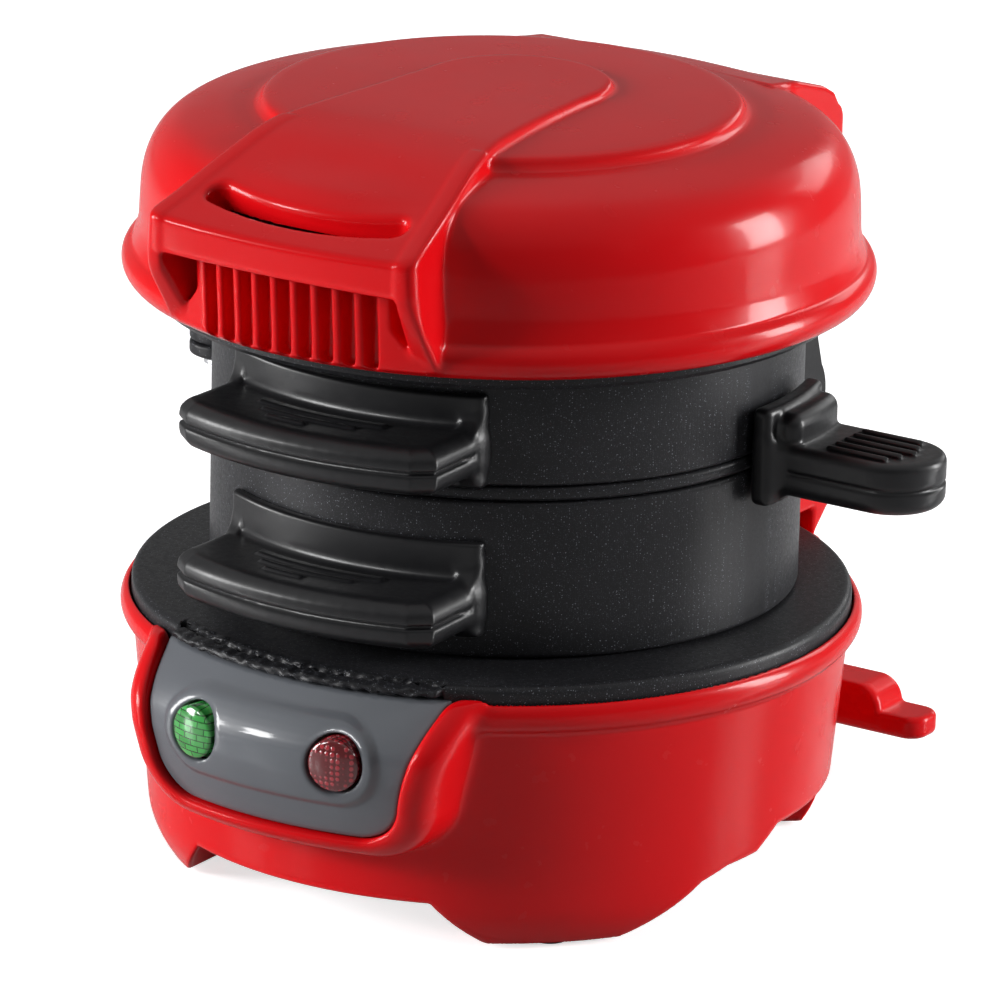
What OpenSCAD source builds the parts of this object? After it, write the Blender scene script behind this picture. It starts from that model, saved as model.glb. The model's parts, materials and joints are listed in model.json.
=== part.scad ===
// Breakfast sandwich maker: a round red base, two cooking rings that stack on it with a
// swing-out plate between them, and a domed red lid, all on one rear hinge pin.
// Millimetres. Front is -Y, right is +X, up is +Z. The origin is on the table, under the
// centre of the round base.

/* [Cooking stack] */
// Inside diameter of both cooking rings, a little over a four-inch muffin
ring_inner_d = 106; // [100:1:112]
// Wall of the cooking rings
ring_wall = 3; // [2.4:0.1:3.6]
// Height of the lower ring
lower_ring_h = 30; // [26:1:36]
// Height of the upper ring
upper_ring_h = 22; // [20:1:27]
// Thickness of the swing-out cooking plate
plate_t = 2.6; // [2:0.1:3.2]
// Distance of the ring centres behind the centre of the base
stack_y = 4; // [3:0.5:5]
// Gap between two leaves of the stack when closed
leaf_gap = 0.3; // [0.2:0.05:0.4]

/* [Base] */
// Radius of the base wall under its top bead
base_wall_r = 68; // [67:0.1:68.6]
// Lean of the base wall towards the table, as a slope
wall_lean = 0.09; // [0.06:0.01:0.12]
// How far the feet draw in at the table
foot_tuck = 3.2; // [2:0.2:4]
// Outer radius of the rolled bead on top of the base wall
base_bead_out = 70.5; // [70:0.1:71]
// Height of the top edge of the base shell
base_h = 51; // [48:0.5:58]
// Radius of the rounding of that bead
base_bead_r = 3.4; // [3:0.1:3.8]
// Wall of the base shell
base_wall = 2.6; // [2.2:0.1:3]
// Height of the skirt edge between the two front feet
skirt_front_z = 9.2; // [8:0.1:11]
// Height of the skirt edge under the sides
skirt_side_z = 16.4; // [15:0.1:16.8]
// Distance of the shell feet off the table, taken up by the rubber pads
pad_proud = 0.8; // [0.6:0.1:1.2]
// Diameter of a rubber foot pad
pad_d = 7.5; // [6:0.5:8]

/* [Control panel] */
// Radius of the bezel ridge round the panel at its fullest height
bezel_r = 79.2; // [78:0.2:80]
// Width of the red ridge round the grey panel
bezel_rim = 3; // [2.4:0.1:3.6]
// Depth of the grey panel below the ridge
panel_sink = 1.2; // [0.8:0.1:1.6]
// Thickness of the grey panel
panel_t = 2.2; // [1.8:0.1:2.6]
// Diameter of an indicator lens
lens_d = 10.6; // [8:0.2:11.2]
// Angle of each lens from the front of the base
lens_angle = 11.6; // [10:0.2:12.5]
// Height of the lens centres
lens_z = 39; // [38:0.5:40]

/* [Heating plates] */
// Radius of the lower heating plate
lower_plate_r = 68.4; // [68:0.1:68.6]
// Thickness of the lower heating plate
lower_plate_t = 5; // [4.4:0.1:5.6]
// Radius of the upper heating plate
upper_plate_r = 66; // [65:0.2:66.2]
// Thickness of the upper heating plate
upper_plate_t = 4; // [3.4:0.1:4.6]
// Diameter of the tubular heating elements
element_d = 6.5; // [6:0.1:7]
// Radius of the bend of the heating elements
element_bend_r = 40; // [36:1:44]

/* [Lid] */
// Height of the lid from its flange to the top of its dome
lid_h = 36.4; // [34:0.4:40]
// Outer radius of the rolled bead round the lid
lid_bead_r = 70.9; // [70:0.1:72]
// Wall of the lid shell
lid_wall = 2.2; // [2:0.1:2.6]
// Radius of the raised disc on top of the lid
disc_r = 45; // [42:0.5:47]
// Distance of the grip's front edge from the centre of the base
grip_front = 75; // [74:0.2:77]
// Half the width of the grip at its front edge
grip_half_w = 29.4; // [28:0.2:31]
// Number of upright ribs in the grille under the grip
rib_count = 11; // [7:1:13]

/* [Handles] */
// Distance of the front edge of the ring handles from the centre of the base
handle_front = 71; // [69:0.5:72]
// Half the width of the ring handles at their front edge
handle_half_w = 28; // [26:0.5:29]
// Reach of the cooking plate's handle from the centre of the base
plate_handle_reach = 90.5; // [88:0.5:95]
// Width of the arm of the cooking plate's handle
plate_handle_w = 20; // [18:0.5:22]
// Thickness of the arm of the cooking plate's handle
plate_handle_t = 10; // [9:0.5:11]
// How far the plate handle stands behind the middle of the rings
plate_handle_y = 7; // [0:0.5:8]

/* [Hinges] */
// Distance of the rear hinge pin behind the centre of the base
hinge_y = 66; // [65.5:0.1:66.5]
// Height of the rear hinge pin above the top of the base shell
hinge_rise = 25; // [24.5:0.1:25.5]
// Diameter of the rear hinge pin
hinge_pin_d = 5; // [4:0.2:5.6]
// Radial running clearance of the leaves on their pins
pin_clearance = 0.06; // [0.03:0.01:0.1]
// Distance of the cooking plate's pivot to the left of the stack
pivot_x = 65; // [64.5:0.1:66]
// Diameter of the cooking plate's pivot pin
pivot_pin_d = 5; // [4:0.2:5.6]

/* [Hidden] */
$fn = 96;
eps = 0.01;

// Stack of levels, from the base up
ring_r = ring_inner_d / 2 + ring_wall;
base_ledge_z = base_h - 2.7;
lower_plate_top = base_ledge_z + lower_plate_t;
lower_ring_z = lower_plate_top + leaf_gap;
lower_ring_top = lower_ring_z + lower_ring_h;
plate_z = lower_ring_top + leaf_gap;
plate_top = plate_z + plate_t;
upper_ring_z = plate_top + leaf_gap;
upper_ring_top = upper_ring_z + upper_ring_h;
upper_plate_z = upper_ring_top + leaf_gap;
upper_plate_top = upper_plate_z + upper_plate_t;
lid_z = upper_plate_z + 3.1;
lid_top = lid_z + lid_h;
hinge_z = base_h + hinge_rise;

// Rear hinge: widths of the knuckles along the pin, from the middle out
hinge_pin_r = hinge_pin_d / 2;
hinge_bore_r = hinge_pin_r + pin_clearance;
knuckle_gap = 0.3;
upper_lug_x = [6, 11.2];
lower_lug_x = [upper_lug_x[1] + knuckle_gap, 16.7];
bracket_ear_x = [lower_lug_x[1] + knuckle_gap, 22.2];
lid_arm_x = [bracket_ear_x[1] + knuckle_gap, 27.5];
lug_r = 4.7;
bracket_ear_r = 7;
lid_knuckle_r = 9.6;
pin_head_t = 1.6;
pin_head_r = 4.2;

// Base tower that carries the hinge
tower_half_w = 30;
tower_front_y = 62;
tower_rear_y = 75.3;
tower_top = base_h + 9;
bracket_t = 2.5;

// Screws
screw_r = 1.5;
screw_head_r = 2.9;
screw_head_h = 1.8;
screw_fit = 0.05;
lens_r = lens_d / 2;
lens_fit = 0.15;
bottom_cover_z = 15.2;
bottom_cover_t = 2;
cover_top = bottom_cover_z + bottom_cover_t;
cover_ledge_t = 3;
foot_inner_r = 52;
tuck_h = 9;
boss_circle_r = 47.5;
boss_angle = 45;
boss_h = 9;

// Angles of the feet from the front: where each begins and ends at the table
front_foot = [32.5, 58];
rear_foot = [131, 156.5];
pad_angles = [for (foot = [front_foot, rear_foot]) for (side = [-1, 1]) side * (foot[0] + foot[1]) / 2];

// Outline points along a circle arc
function arc(cx, cy, r, a0, a1, n = 8) =
    [for (i = [0 : n]) let (a = a0 + (a1 - a0) * i / n) [cx + r * cos(a), cy + r * sin(a)]];
// Radius of the base wall at a height: a slight lean, drawn in further at the feet
function wall_r(z) =
    base_wall_r - wall_lean * (bead_z0 - z) - foot_tuck * pow(max(0, 1 - z / tuck_h), 2);
bead_z0 = base_h - 2 * base_bead_r;
bead_mid_z = bead_z0 + base_bead_r;
bead_mid_r = base_bead_out - base_bead_r;

module at_angle(a, r, z) {
    rotate([0, 0, a]) translate([0, -r, z]) children();
}

module mirrored_x() {
    children();
    mirror([1, 0, 0]) children();
}

// A bar along X between two places, mirrored to the other side
module x_bar(span, r, y, z) {
    mirrored_x() translate([span[0], y, z]) rotate([0, 90, 0]) cylinder(r = r, h = span[1] - span[0]);
}

// A flat outline in the plane through Y and Z, thickened along X
module yz_slab(x0, x1, points) {
    translate([x0, 0, 0]) rotate([90, 0, 90]) linear_extrude(x1 - x0) polygon(points);
}

// A screw standing with its head down at the origin
module screw(length, r = screw_r, head_r = screw_head_r, head_h = screw_head_h) {
    translate([0, 0, -eps]) cylinder(r = r, h = length + eps);
    translate([0, 0, -head_h]) difference() {
        cylinder(r = head_r, h = head_h);
        for (turn = [0, 90]) rotate([0, 0, turn])
            translate([-head_r * 0.6, -0.35, -eps]) cube([head_r * 1.2, 0.7, 0.8]);
    }
}

// Base shell

// Upright outline of the bezel seen from the front, larger by grow
module bezel_outline(grow) {
    half_top = 36.3;
    half_low = 26;
    low_z = 20.2;
    corner = 8;
    polygon(concat(
        [[half_top + grow, base_h + 0.2], [-half_top - grow, base_h + 0.2]],
        [[-half_top + 3 - grow, 40]],
        arc(-half_low + corner, low_z + corner, corner + grow, 200, 270),
        arc(half_low - corner, low_z + corner, corner + grow, 270, 340),
        [[half_top - 3 + grow, 40]]
    ));
}

// Bulging section of the bezel and panel, inside the ridge by inset
module bezel_bulge(inset, inner_r) {
    rotate_extrude($fn = 160) polygon([
        [inner_r, 17], [bezel_r - 6.2 - inset, 17], [bezel_r - 4.6 - inset, 21],
        [bezel_r - 1.6 - inset, 29], [bezel_r - inset, 37], [bezel_r - 0.6 - inset, 42],
        [bezel_r - 3.4 - inset, 46.5], [bezel_r - 7.8 - inset, base_h],
        [inner_r, base_h]
    ]);
}

module bezel_part(inset, inner_r, grow) {
    intersection() {
        bezel_bulge(inset, inner_r);
        translate([0, -30, 0]) rotate([90, 0, 0]) linear_extrude(60) bezel_outline(grow);
    }
}

// Revolved wall of the base with its bead, plate seat, cover ledge and solid foot ring
module base_wall_ring() {
    foot_steps = 5;
    rotate_extrude($fn = 160) polygon(concat(
        [for (i = [0 : foot_steps]) let (z = pad_proud + (tuck_h - pad_proud) * i / foot_steps) [wall_r(z), z]],
        [[wall_r(bead_z0), bead_z0]],
        arc(bead_mid_r, bead_mid_z, base_bead_r, -70, 50),
        [
            [lower_plate_r + 0.4, base_h], [lower_plate_r + 0.1, base_h],
            [lower_plate_r + 0.1, base_ledge_z],
            [58.5, base_ledge_z], [58.5, base_ledge_z - 3],
            [wall_r(base_ledge_z - 6) - base_wall, base_ledge_z - 6],
            [wall_r(cover_top + cover_ledge_t) - base_wall, cover_top + cover_ledge_t],
            [foot_inner_r - 8, cover_top + cover_ledge_t], [foot_inner_r - 8, cover_top],
            [foot_inner_r, cover_top], [foot_inner_r, pad_proud]
        ]
    ));
}

// Gap in the skirt between two feet with sloped sides, from the centre to angle half at the table
module skirt_gap(half, edge_z) {
    half_foot = wall_r(pad_proud) * sin(half);
    translate([0, -20, 0]) rotate([90, 0, 0]) linear_extrude(60)
        polygon([[-half_foot, -1], [-half_foot, pad_proud], [-half_foot + 7, edge_z],
                 [half_foot - 7, edge_z], [half_foot, pad_proud], [half_foot, -1]]);
}

// Stepped gap under one side, from the front foot's slope to the rear foot's straight face
module side_gap() {
    foot_end = -wall_r(pad_proud) * cos(front_foot[1]);
    intersection() {
        yz_slab(20, 90, [
            [foot_end, -1], [foot_end, pad_proud], [foot_end + 12, 9.8], [foot_end + 18, 11.7],
            [foot_end + 26, 12.4], [foot_end + 32, skirt_side_z], [90, skirt_side_z], [90, -1]
        ]);
        linear_extrude(90) polygon([[0, 0], [90, -90], [90, 0],
                                    [90, -90 / tan(rear_foot[0])]]);
    }
}

module base_shell() {
    color([0.72, 0.02, 0.03]) difference() {
        union() {
            base_wall_ring();
            bezel_part(0, 60, 0);
            // Hinge tower
            yz_slab(-tower_half_w, tower_half_w, [
                [tower_front_y, lower_plate_top + 0.4], [tower_front_y, tower_top],
                [tower_rear_y, tower_top], [tower_rear_y, base_h + 3],
                [70, base_h - 2], [66.5, base_ledge_z - 6], [63.5, base_ledge_z - 6],
                [63.5, base_ledge_z], [lower_plate_r + 0.1, base_ledge_z],
                [lower_plate_r + 0.1, lower_plate_top + 0.4]
            ]);
            // Bosses for the screws of the bottom cover
            for (a = [0 : 3]) at_angle(boss_angle + 90 * a, boss_circle_r, cover_top + cover_ledge_t - eps)
                cylinder(r = boss_r, h = boss_h);
        }
        // Opening for the grey panel, right out through the ridge
        bezel_part(-5, panel_opening_r, -bezel_rim);
        // Seat of the heating plate
        translate([0, 0, base_ledge_z]) cylinder(r = lower_plate_r + 0.1, h = lower_plate_t + 0.4, $fn = 160);
        // Inside of the bezel's ends, behind the wall
        rotate_extrude($fn = 160) polygon([
            [50, cover_top + cover_ledge_t], [wall_r(cover_top + cover_ledge_t) - base_wall, cover_top + cover_ledge_t],
            [wall_r(base_ledge_z - 6) - base_wall, base_ledge_z - 6], [50, base_ledge_z - 6]
        ]);
        // Hollow of the hinge tower
        yz_slab(-tower_half_w + 2.4, tower_half_w - 2.4, [
            [tower_front_y + 2.4, lower_plate_top + 2], [tower_front_y + 2.4, tower_top - 3],
            [tower_rear_y - 2.4, tower_top - 3], [tower_rear_y - 2.4, lower_plate_top + 2]
        ]);
        // Skirt edges between the feet
        skirt_gap(front_foot[0], skirt_front_z);
        rotate([0, 0, 180]) skirt_gap(180 - rear_foot[1], skirt_front_z);
        mirrored_x() side_gap();
        // Holes for the screws of the bottom cover, plate, cleat, bracket and gland
        for (a = [0 : 3]) {
            at_angle(boss_angle + 90 * a, boss_circle_r, bottom_cover_z)
                cylinder(r = screw_r + screw_fit, h = 12.5);
            at_angle(90 * a + 20, plate_screw_circle_r, base_ledge_z - 8)
                cylinder(r = screw_r + 0.2, h = 12);
            at_angle(90 * a + 20, plate_screw_circle_r, base_ledge_z - 8)
                cylinder(r = screw_head_r + 0.2, h = 5);
        }
        for (x = [-1, 1]) {
            translate([x * cleat_screw_x, 40, cleat_z]) rotate([-90, 0, 0])
                cylinder(r = screw_r + 0.2, h = 28);
            for (y = bracket_screw_y) translate([x * bracket_screw_x, y, tower_top - 4])
                cylinder(r = screw_r + screw_fit, h = 6);
        }
        translate([0, 50, gland_z]) rotate([-90, 0, 0]) cylinder(r = gland_r + screw_fit, h = 24);
        // Pockets for the foot pads
        for (a = pad_angles) at_angle(a, pad_circle_r, 0)
            cylinder(r = pad_d / 2 + 0.1, h = pad_proud + pad_sunk);
    }
}

boss_r = 4;
panel_opening_r = 64;
plate_screw_circle_r = 61.5;
pad_circle_r = 56.2;
pad_sunk = 1;
cleat_screw_x = 12;
cleat_z = 24;
cleat_y = [74, 84];
cleat_low_z = 8.5;
cleat_horn_t = 4.5;
cleat_half_w = 52;
cleat_block_w = 43;
cleat_block_h = 5;
gland_z = 34;
gland_r = 5.2;
bracket_screw_x = 26;
bracket_screw_y = [65.5, 72];

module bottom_cover() {
    cover_r = foot_inner_r - 0.4;
    color([0.12, 0.12, 0.13]) difference() {
        union() {
            translate([0, 0, bottom_cover_z]) cylinder(r = cover_r, h = bottom_cover_t);
            // Stiffening ring under the cover
            translate([0, 0, bottom_cover_z - 1.4]) difference() {
                cylinder(r = 38, h = 1.4 + eps);
                translate([0, 0, -1]) cylinder(r = 35.6, h = 4);
            }
        }
        for (a = [0 : 3]) at_angle(boss_angle + 90 * a, boss_circle_r, bottom_cover_z - 1)
            cylinder(r = screw_r + 0.2, h = 6);
        // Air slots
        for (i = [-3 : 3]) translate([i * 7 - 1.2, -14, bottom_cover_z - 1]) cube([2.4, 28, 6]);
    }
}

module bottom_cover_screws() {
    color([0.75, 0.75, 0.77]) for (a = [0 : 3])
        at_angle(boss_angle + 90 * a, boss_circle_r, bottom_cover_z) screw(11);
}

module foot_pads() {
    color([0.15, 0.15, 0.15]) for (a = pad_angles)
        at_angle(a, pad_circle_r, 0) cylinder(r = pad_d / 2, h = pad_proud + pad_sunk);
}

// Control panel and its lamps

module radial_hole(side, r, depth_from, depth) {
    rotate([0, 0, side * lens_angle]) translate([0, -depth_from, lens_z]) rotate([90, 0, 0])
        cylinder(r = r, h = depth);
}

panel_face_r = bezel_r - panel_sink;

module control_panel() {
    color([0.30, 0.31, 0.33]) difference() {
        bezel_part(panel_sink + 0.1, 66, -bezel_rim - 0.15);
        bezel_part(panel_sink + panel_t, 50, -bezel_rim - panel_t);
        translate([0, 0, base_ledge_z]) cylinder(r = lower_plate_r + 0.4, h = 20, $fn = 160);
        rotate_extrude() polygon([[50, 0], [66.5, 0], [68.5, 60], [50, 60]]);
        for (side = [-1, 1]) radial_hole(side, lens_r + lens_fit, 60, 30);
    }
}

// A lens: a barrel through the panel with a domed front and a flange behind it
module lens(side) {
    dome_r = 9;
    rotate([0, 0, side * lens_angle]) translate([0, 0, lens_z]) rotate([90, 0, 0]) {
        translate([0, 0, panel_face_r - panel_t - 5]) difference() {
            cylinder(r = lens_r, h = panel_t + 5.2);
            translate([0, 0, -1]) cylinder(r = lens_r - 1.2, h = panel_t + 3.6);
        }
        intersection() {
            translate([0, 0, panel_face_r + 0.2 - eps]) cylinder(r = lens_r, h = 3);
            translate([0, 0, panel_face_r + 1.6 - dome_r]) sphere(r = dome_r);
        }
        translate([0, 0, panel_face_r - panel_t - 5]) difference() {
            cylinder(r = lens_r + 1, h = 1.2);
            translate([0, 0, -1]) cylinder(r = lens_r - 1.2, h = 4);
        }
    }
}

module green_lens() {
    color([0.10, 0.70, 0.20]) lens(-1);
}

module red_lens() {
    color([0.60, 0.08, 0.10]) lens(1);
}

carrier_r = panel_face_r - panel_t - 5.4;
lamp_tail = 5;

module lamp_carrier() {
    color([0.85, 0.84, 0.80]) difference() {
        intersection() {
            rotate_extrude() polygon([[carrier_r - 2, lens_z - 8], [carrier_r, lens_z - 8],
                                      [carrier_r, lens_z + 5], [carrier_r - 2, lens_z + 5]]);
            translate([-23, -90, 0]) cube([46, 60, 90]);
        }
        for (side = [-1, 1]) radial_hole(side, 2.6, 50, 40);
    }
    // A post that holds the carrier off the panel
    color([0.85, 0.84, 0.80]) translate([0, -carrier_r + 0.5, lens_z - 2])
        rotate([90, 0, 0]) cylinder(r = 2, h = panel_face_r - panel_t - carrier_r - 0.1);
}

module indicator_lamps() {
    color([0.95, 0.85, 0.70]) for (side = [-1, 1]) rotate([0, 0, side * lens_angle])
        translate([0, 0, lens_z]) rotate([90, 0, 0]) {
            translate([0, 0, carrier_r - lamp_tail]) cylinder(r = 2.5, h = lamp_tail + 2);
            translate([0, 0, carrier_r + 2]) sphere(r = 2.5);
        }
}

// Lower heating plate and what is under it

module lower_heating_plate() {
    color([0.10, 0.10, 0.11]) difference() {
        rotate_extrude($fn = 160) polygon([
            [0, base_ledge_z], [lower_plate_r, base_ledge_z], [lower_plate_r, base_ledge_z + 3],
            [lower_plate_r - 0.6, lower_plate_top - 0.6], [lower_plate_r - 1.8, lower_plate_top],
            [0, lower_plate_top]
        ]);
        // Flat at the rear, in front of the hinge tower
        translate([-tower_half_w - 0.4, tower_front_y - 0.3, base_ledge_z - 1])
            cube([2 * tower_half_w + 0.8, 20, 20]);
        for (a = [0 : 3]) at_angle(90 * a + 20, plate_screw_circle_r, base_ledge_z - 1)
            cylinder(r = screw_r + screw_fit, h = 4.2);
    }
    // Drip lip over the control panel
    color([0.10, 0.10, 0.11]) intersection() {
        rotate_extrude($fn = 160) polygon([
            [lower_plate_r - 0.5, base_h + 0.3], [lower_plate_r + 1.7, base_h + 0.3],
            [lower_plate_r + 1.7, lower_plate_top - 1.2], [lower_plate_r - 0.5, lower_plate_top - 0.4]
        ]);
        translate([-29.5, -90, 0]) cube([59, 60, 90]);
    }
}

// Half the open angle of a heating element at the rear
end_angle = 22;

// An open ring of tubular element with two ends turned up or down by end_h
module element(z, end_h, r = element_bend_r, tube_r = element_d / 2) {
    reach = r + 2 * tube_r;
    difference() {
        translate([0, 0, z]) rotate_extrude() translate([r, 0]) circle(r = tube_r, $fn = 48);
        // The open stretch between the two ends
        translate([0, 0, z - 2 * tube_r]) linear_extrude(4 * tube_r) polygon([
            [0, 0], [reach * cos(90 - end_angle), reach * sin(90 - end_angle)], [0, 2 * reach],
            [-reach * cos(90 - end_angle), reach * sin(90 - end_angle)]
        ]);
    }
    for (side = [-1, 1]) rotate([0, 0, side * (end_angle + 4)]) translate([0, r, z])
        rotate([0, end_h > 0 ? 0 : 180, 0]) cylinder(r = tube_r * 0.6, h = abs(end_h));
}

lower_element_z = base_ledge_z - element_d / 2 - 0.05;

module lower_heating_element() {
    color([0.45, 0.43, 0.42]) element(lower_element_z, -12);
}

lower_shield_z = base_ledge_z - element_d - 5;

module lower_heat_shield() {
    color([0.72, 0.73, 0.74]) difference() {
        rotate_extrude() polygon([
            [0, lower_shield_z], [45.5, lower_shield_z], [46.5, lower_shield_z + 1],
            [46.5, base_ledge_z - 0.8], [49, base_ledge_z - 0.8], [49, base_ledge_z], [45.7, base_ledge_z],
            [45.7, lower_shield_z + 0.8], [0, lower_shield_z + 0.8]
        ]);
        translate([0, 0, lower_shield_z - 1]) cylinder(r = 12.5, h = 4);
        // Ways through for the element ends
        for (side = [-1, 1]) rotate([0, 0, side * (end_angle + 4)]) translate([0, element_bend_r, 0])
            cylinder(r = 3.4, h = base_ledge_z - 1);
    }
}

module lower_plate_screws() {
    color([0.75, 0.75, 0.77]) for (a = [0 : 3])
        at_angle(90 * a + 20, plate_screw_circle_r, base_ledge_z - 3) screw(6);
}

module thermostat() {
    color([0.80, 0.76, 0.62]) {
        translate([0, 0, base_ledge_z - 5]) cylinder(r = 9, h = 4.95);
        translate([0, 0, base_ledge_z - 12]) cylinder(r = 7.5, h = 7 + eps);
        for (x = [-5, 5]) translate([x - 0.4, -3, base_ledge_z - 20]) cube([0.8, 6, 8 + eps]);
        translate([-11.5, -3, base_ledge_z - 1]) cube([23, 6, 0.95]);
    }
}

module thermal_fuse() {
    color([0.88, 0.86, 0.80]) translate([-8, 24, lower_shield_z - 2.7]) rotate([0, 90, 0]) {
        cylinder(r = 2.6, h = 16);
        translate([0, 0, -6]) cylinder(r = 0.8, h = 28);
    }
}

block_h = 10;
block_top = cover_top + block_h;
block_y = [26, 38];

module terminal_block() {
    color([0.90, 0.90, 0.86]) difference() {
        translate([-18, block_y[0], cover_top]) cube([36, block_y[1] - block_y[0], block_h]);
        for (i = [-1 : 1]) translate([i * 11, block_y[0] - 1, wire_z]) rotate([-90, 0, 0])
            cylinder(r = 1.8, h = 14);
        for (i = [-1 : 1]) translate([i * 11, (block_y[0] + block_y[1]) / 2, block_top - 4.6])
            cylinder(r = 2, h = 5);
    }
}

// Direction of a route at one of its points, the mean of the stretches that meet there
function heading(route, i) = let (
    a = route[max(i - 1, 0)], b = route[i], c = route[min(i + 1, len(route) - 1)],
    u = i == 0 ? c - b : b - a, v = i == len(route) - 1 ? b - a : c - b,
    w = u / norm(u) + v / norm(v)) w / norm(w);

// A wire with wire_sides flat sides, swept along a route
module wire(route, r) {
    wire_sides = 8;
    lean = [0.31, 0.47, 0.83];
    rings = [for (i = [0 : len(route) - 1]) let (
        t = heading(route, i), u = cross(t, lean) / norm(cross(t, lean)), v = cross(t, u))
        for (k = [0 : wire_sides - 1]) let (a = 360 * k / wire_sides)
            route[i] + r * (cos(a) * u + sin(a) * v)];
    last = wire_sides * (len(route) - 1);
    faces = concat(
        [[for (k = [0 : wire_sides - 1]) k]],
        [for (i = [0 : len(route) - 2]) for (k = [0 : wire_sides - 1])
            let (n = (k + 1) % wire_sides, b = i * wire_sides)
                [b + n, b + k, b + wire_sides + k, b + wire_sides + n]],
        [[for (k = [wire_sides - 1 : -1 : 0]) last + k]]
    );
    polyhedron(rings, faces, convexity = 6);
}

wire_r = 1;
wire_z = block_top - 5;

module base_wiring() {
    rear = block_y[1];
    front = block_y[0];
    lamp_r = carrier_r - lamp_tail - 0.3;
    color([0.85, 0.80, 0.70]) {
        // Element ends to the terminal block
        for (side = [-1, 1])
            wire([[side * 11, rear - 2, wire_z], [side * 11.5, rear + 2, wire_z], [side * 20, 42, wire_z + 6],
                  [side * 20.5, 38, lower_element_z - 14], [side * 17.6, 36, lower_element_z - 12.9]], wire_r);
        // Lamps to the terminal block
        for (side = [-1, 1])
            wire([[side * 11, front + 2, wire_z], [side * 11.5, front - 3, wire_z], [side * 20, -20, wire_z],
                  [side * 18, -48, lens_z - 5], [side * 13.4, -58, lens_z],
                  [side * lamp_r * sin(lens_angle), -lamp_r * cos(lens_angle), lens_z]], wire_r);
        // Supply from the gland to the terminal block
        wire([[0, 56.5, gland_z], [0, 51, gland_z - 1], [0, 45, wire_z + 3], [0, rear + 2, wire_z],
              [0, rear - 2, wire_z]], wire_r);
    }
}

module cord_gland() {
    color([0.08, 0.08, 0.09]) translate([0, 0, gland_z]) rotate([-90, 0, 0]) difference() {
        union() {
            translate([0, 0, 57]) cylinder(r = gland_r, h = 13);
            translate([0, 0, wall_r(gland_z) + 0.6]) cylinder(r = gland_r + 2, h = 2);
            translate([0, 0, 58]) cylinder(r = gland_r + 1.5, h = 2);
        }
        translate([0, 0, 50]) cylinder(r = 3.3, h = 30);
    }
}

// Cleat at the rear that the cord is wound on
module cord_wrap() {
    neck_half_w = 17;
    neck_z = [cleat_z - 5, cleat_z + 2.4];
    corner = 4;
    color([0.72, 0.02, 0.03]) difference() {
        union() {
            // Neck from the base wall to the cleat
            difference() {
                translate([-neck_half_w, 56, neck_z[0]])
                    cube([2 * neck_half_w, cleat_y[1] - 56, neck_z[1] - neck_z[0]]);
                rotate_extrude($fn = 160) polygon([[0, 0], [wall_r(tuck_h) + 0.1 - wall_lean * tuck_h, 0],
                    [base_wall_r + 0.1, bead_z0], [base_wall_r + 0.1, 90], [0, 90]]);
            }
            translate([-neck_half_w, cleat_y[0], cleat_low_z])
                cube([2 * neck_half_w, cleat_y[1] - cleat_y[0], neck_z[1] - cleat_low_z]);
            mirrored_x() {
                // Flat horn
                translate([0, 0, cleat_low_z]) linear_extrude(cleat_horn_t) polygon(concat(
                    [[0, cleat_y[0]]], arc(cleat_half_w - corner, cleat_y[0] + corner, corner, -90, 0, 4),
                    arc(cleat_half_w - corner, cleat_y[1] - corner, corner, 0, 90, 4), [[0, cleat_y[1]]]
                ));
                // Raised block with a rounded end
                translate([0, cleat_y[1], cleat_low_z + cleat_horn_t - eps]) rotate([90, 0, 0])
                    linear_extrude(cleat_y[1] - cleat_y[0]) polygon(concat(
                        [[0, 0]], arc(cleat_block_w - cleat_block_h, 0, cleat_block_h, 0, 90, 6),
                        [[0, cleat_block_h]]
                    ));
            }
        }
        for (x = [-1, 1]) translate([x * cleat_screw_x, 40, cleat_z]) rotate([-90, 0, 0])
            cylinder(r = screw_r + screw_fit, h = 36);
    }
}

module cord_wrap_screws() {
    inner_y = chord_y(wall_r(cleat_z) - base_wall, cleat_screw_x + screw_head_r) - 0.1;
    color([0.75, 0.75, 0.77]) for (x = [-1, 1])
        translate([x * cleat_screw_x, inner_y, cleat_z]) rotate([-90, 0, 0]) screw(14);
}

// Rear hinge

module hinge_bracket() {
    color([0.09, 0.09, 0.10]) difference() {
        union() {
            translate([-29.3, tower_front_y, tower_top]) cube([58.6, tower_rear_y - tower_front_y, bracket_t]);
            mirrored_x() {
                x_bar(bracket_ear_x, bracket_ear_r, hinge_y, hinge_z);
                yz_slab(bracket_ear_x[0], bracket_ear_x[1], [
                    [tower_front_y, tower_top + bracket_t - eps], [tower_rear_y - 1, tower_top + bracket_t - eps],
                    [hinge_y + bracket_ear_r * 0.95, hinge_z - 2], [hinge_y, hinge_z],
                    [hinge_y - bracket_ear_r + 0.6, hinge_z - 2]
                ]);
            }
        }
        translate([-40, hinge_y, hinge_z]) rotate([0, 90, 0]) cylinder(r = hinge_pin_r, h = 80);
        for (x = [-1, 1]) for (y = bracket_screw_y)
            translate([x * bracket_screw_x, y, tower_top - 1]) cylinder(r = screw_r + 0.1, h = 9);
    }
}

module hinge_bracket_screws() {
    color([0.75, 0.75, 0.77]) for (x = [-1, 1]) for (y = bracket_screw_y)
        translate([x * bracket_screw_x, y, tower_top + bracket_t]) rotate([180, 0, 0])
            screw(5.5, screw_r, 2.4, 1.2);
}

module hinge_pin() {
    half = lid_arm_x[1] + knuckle_gap;
    color([0.70, 0.71, 0.73]) translate([0, hinge_y, hinge_z]) rotate([0, 90, 0]) {
        translate([0, 0, -half]) cylinder(r = hinge_pin_r, h = 2 * half);
        for (x = [-half - pin_head_t, half]) translate([0, 0, x]) cylinder(r = pin_head_r, h = pin_head_t);
    }
}

// Cooking rings

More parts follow.
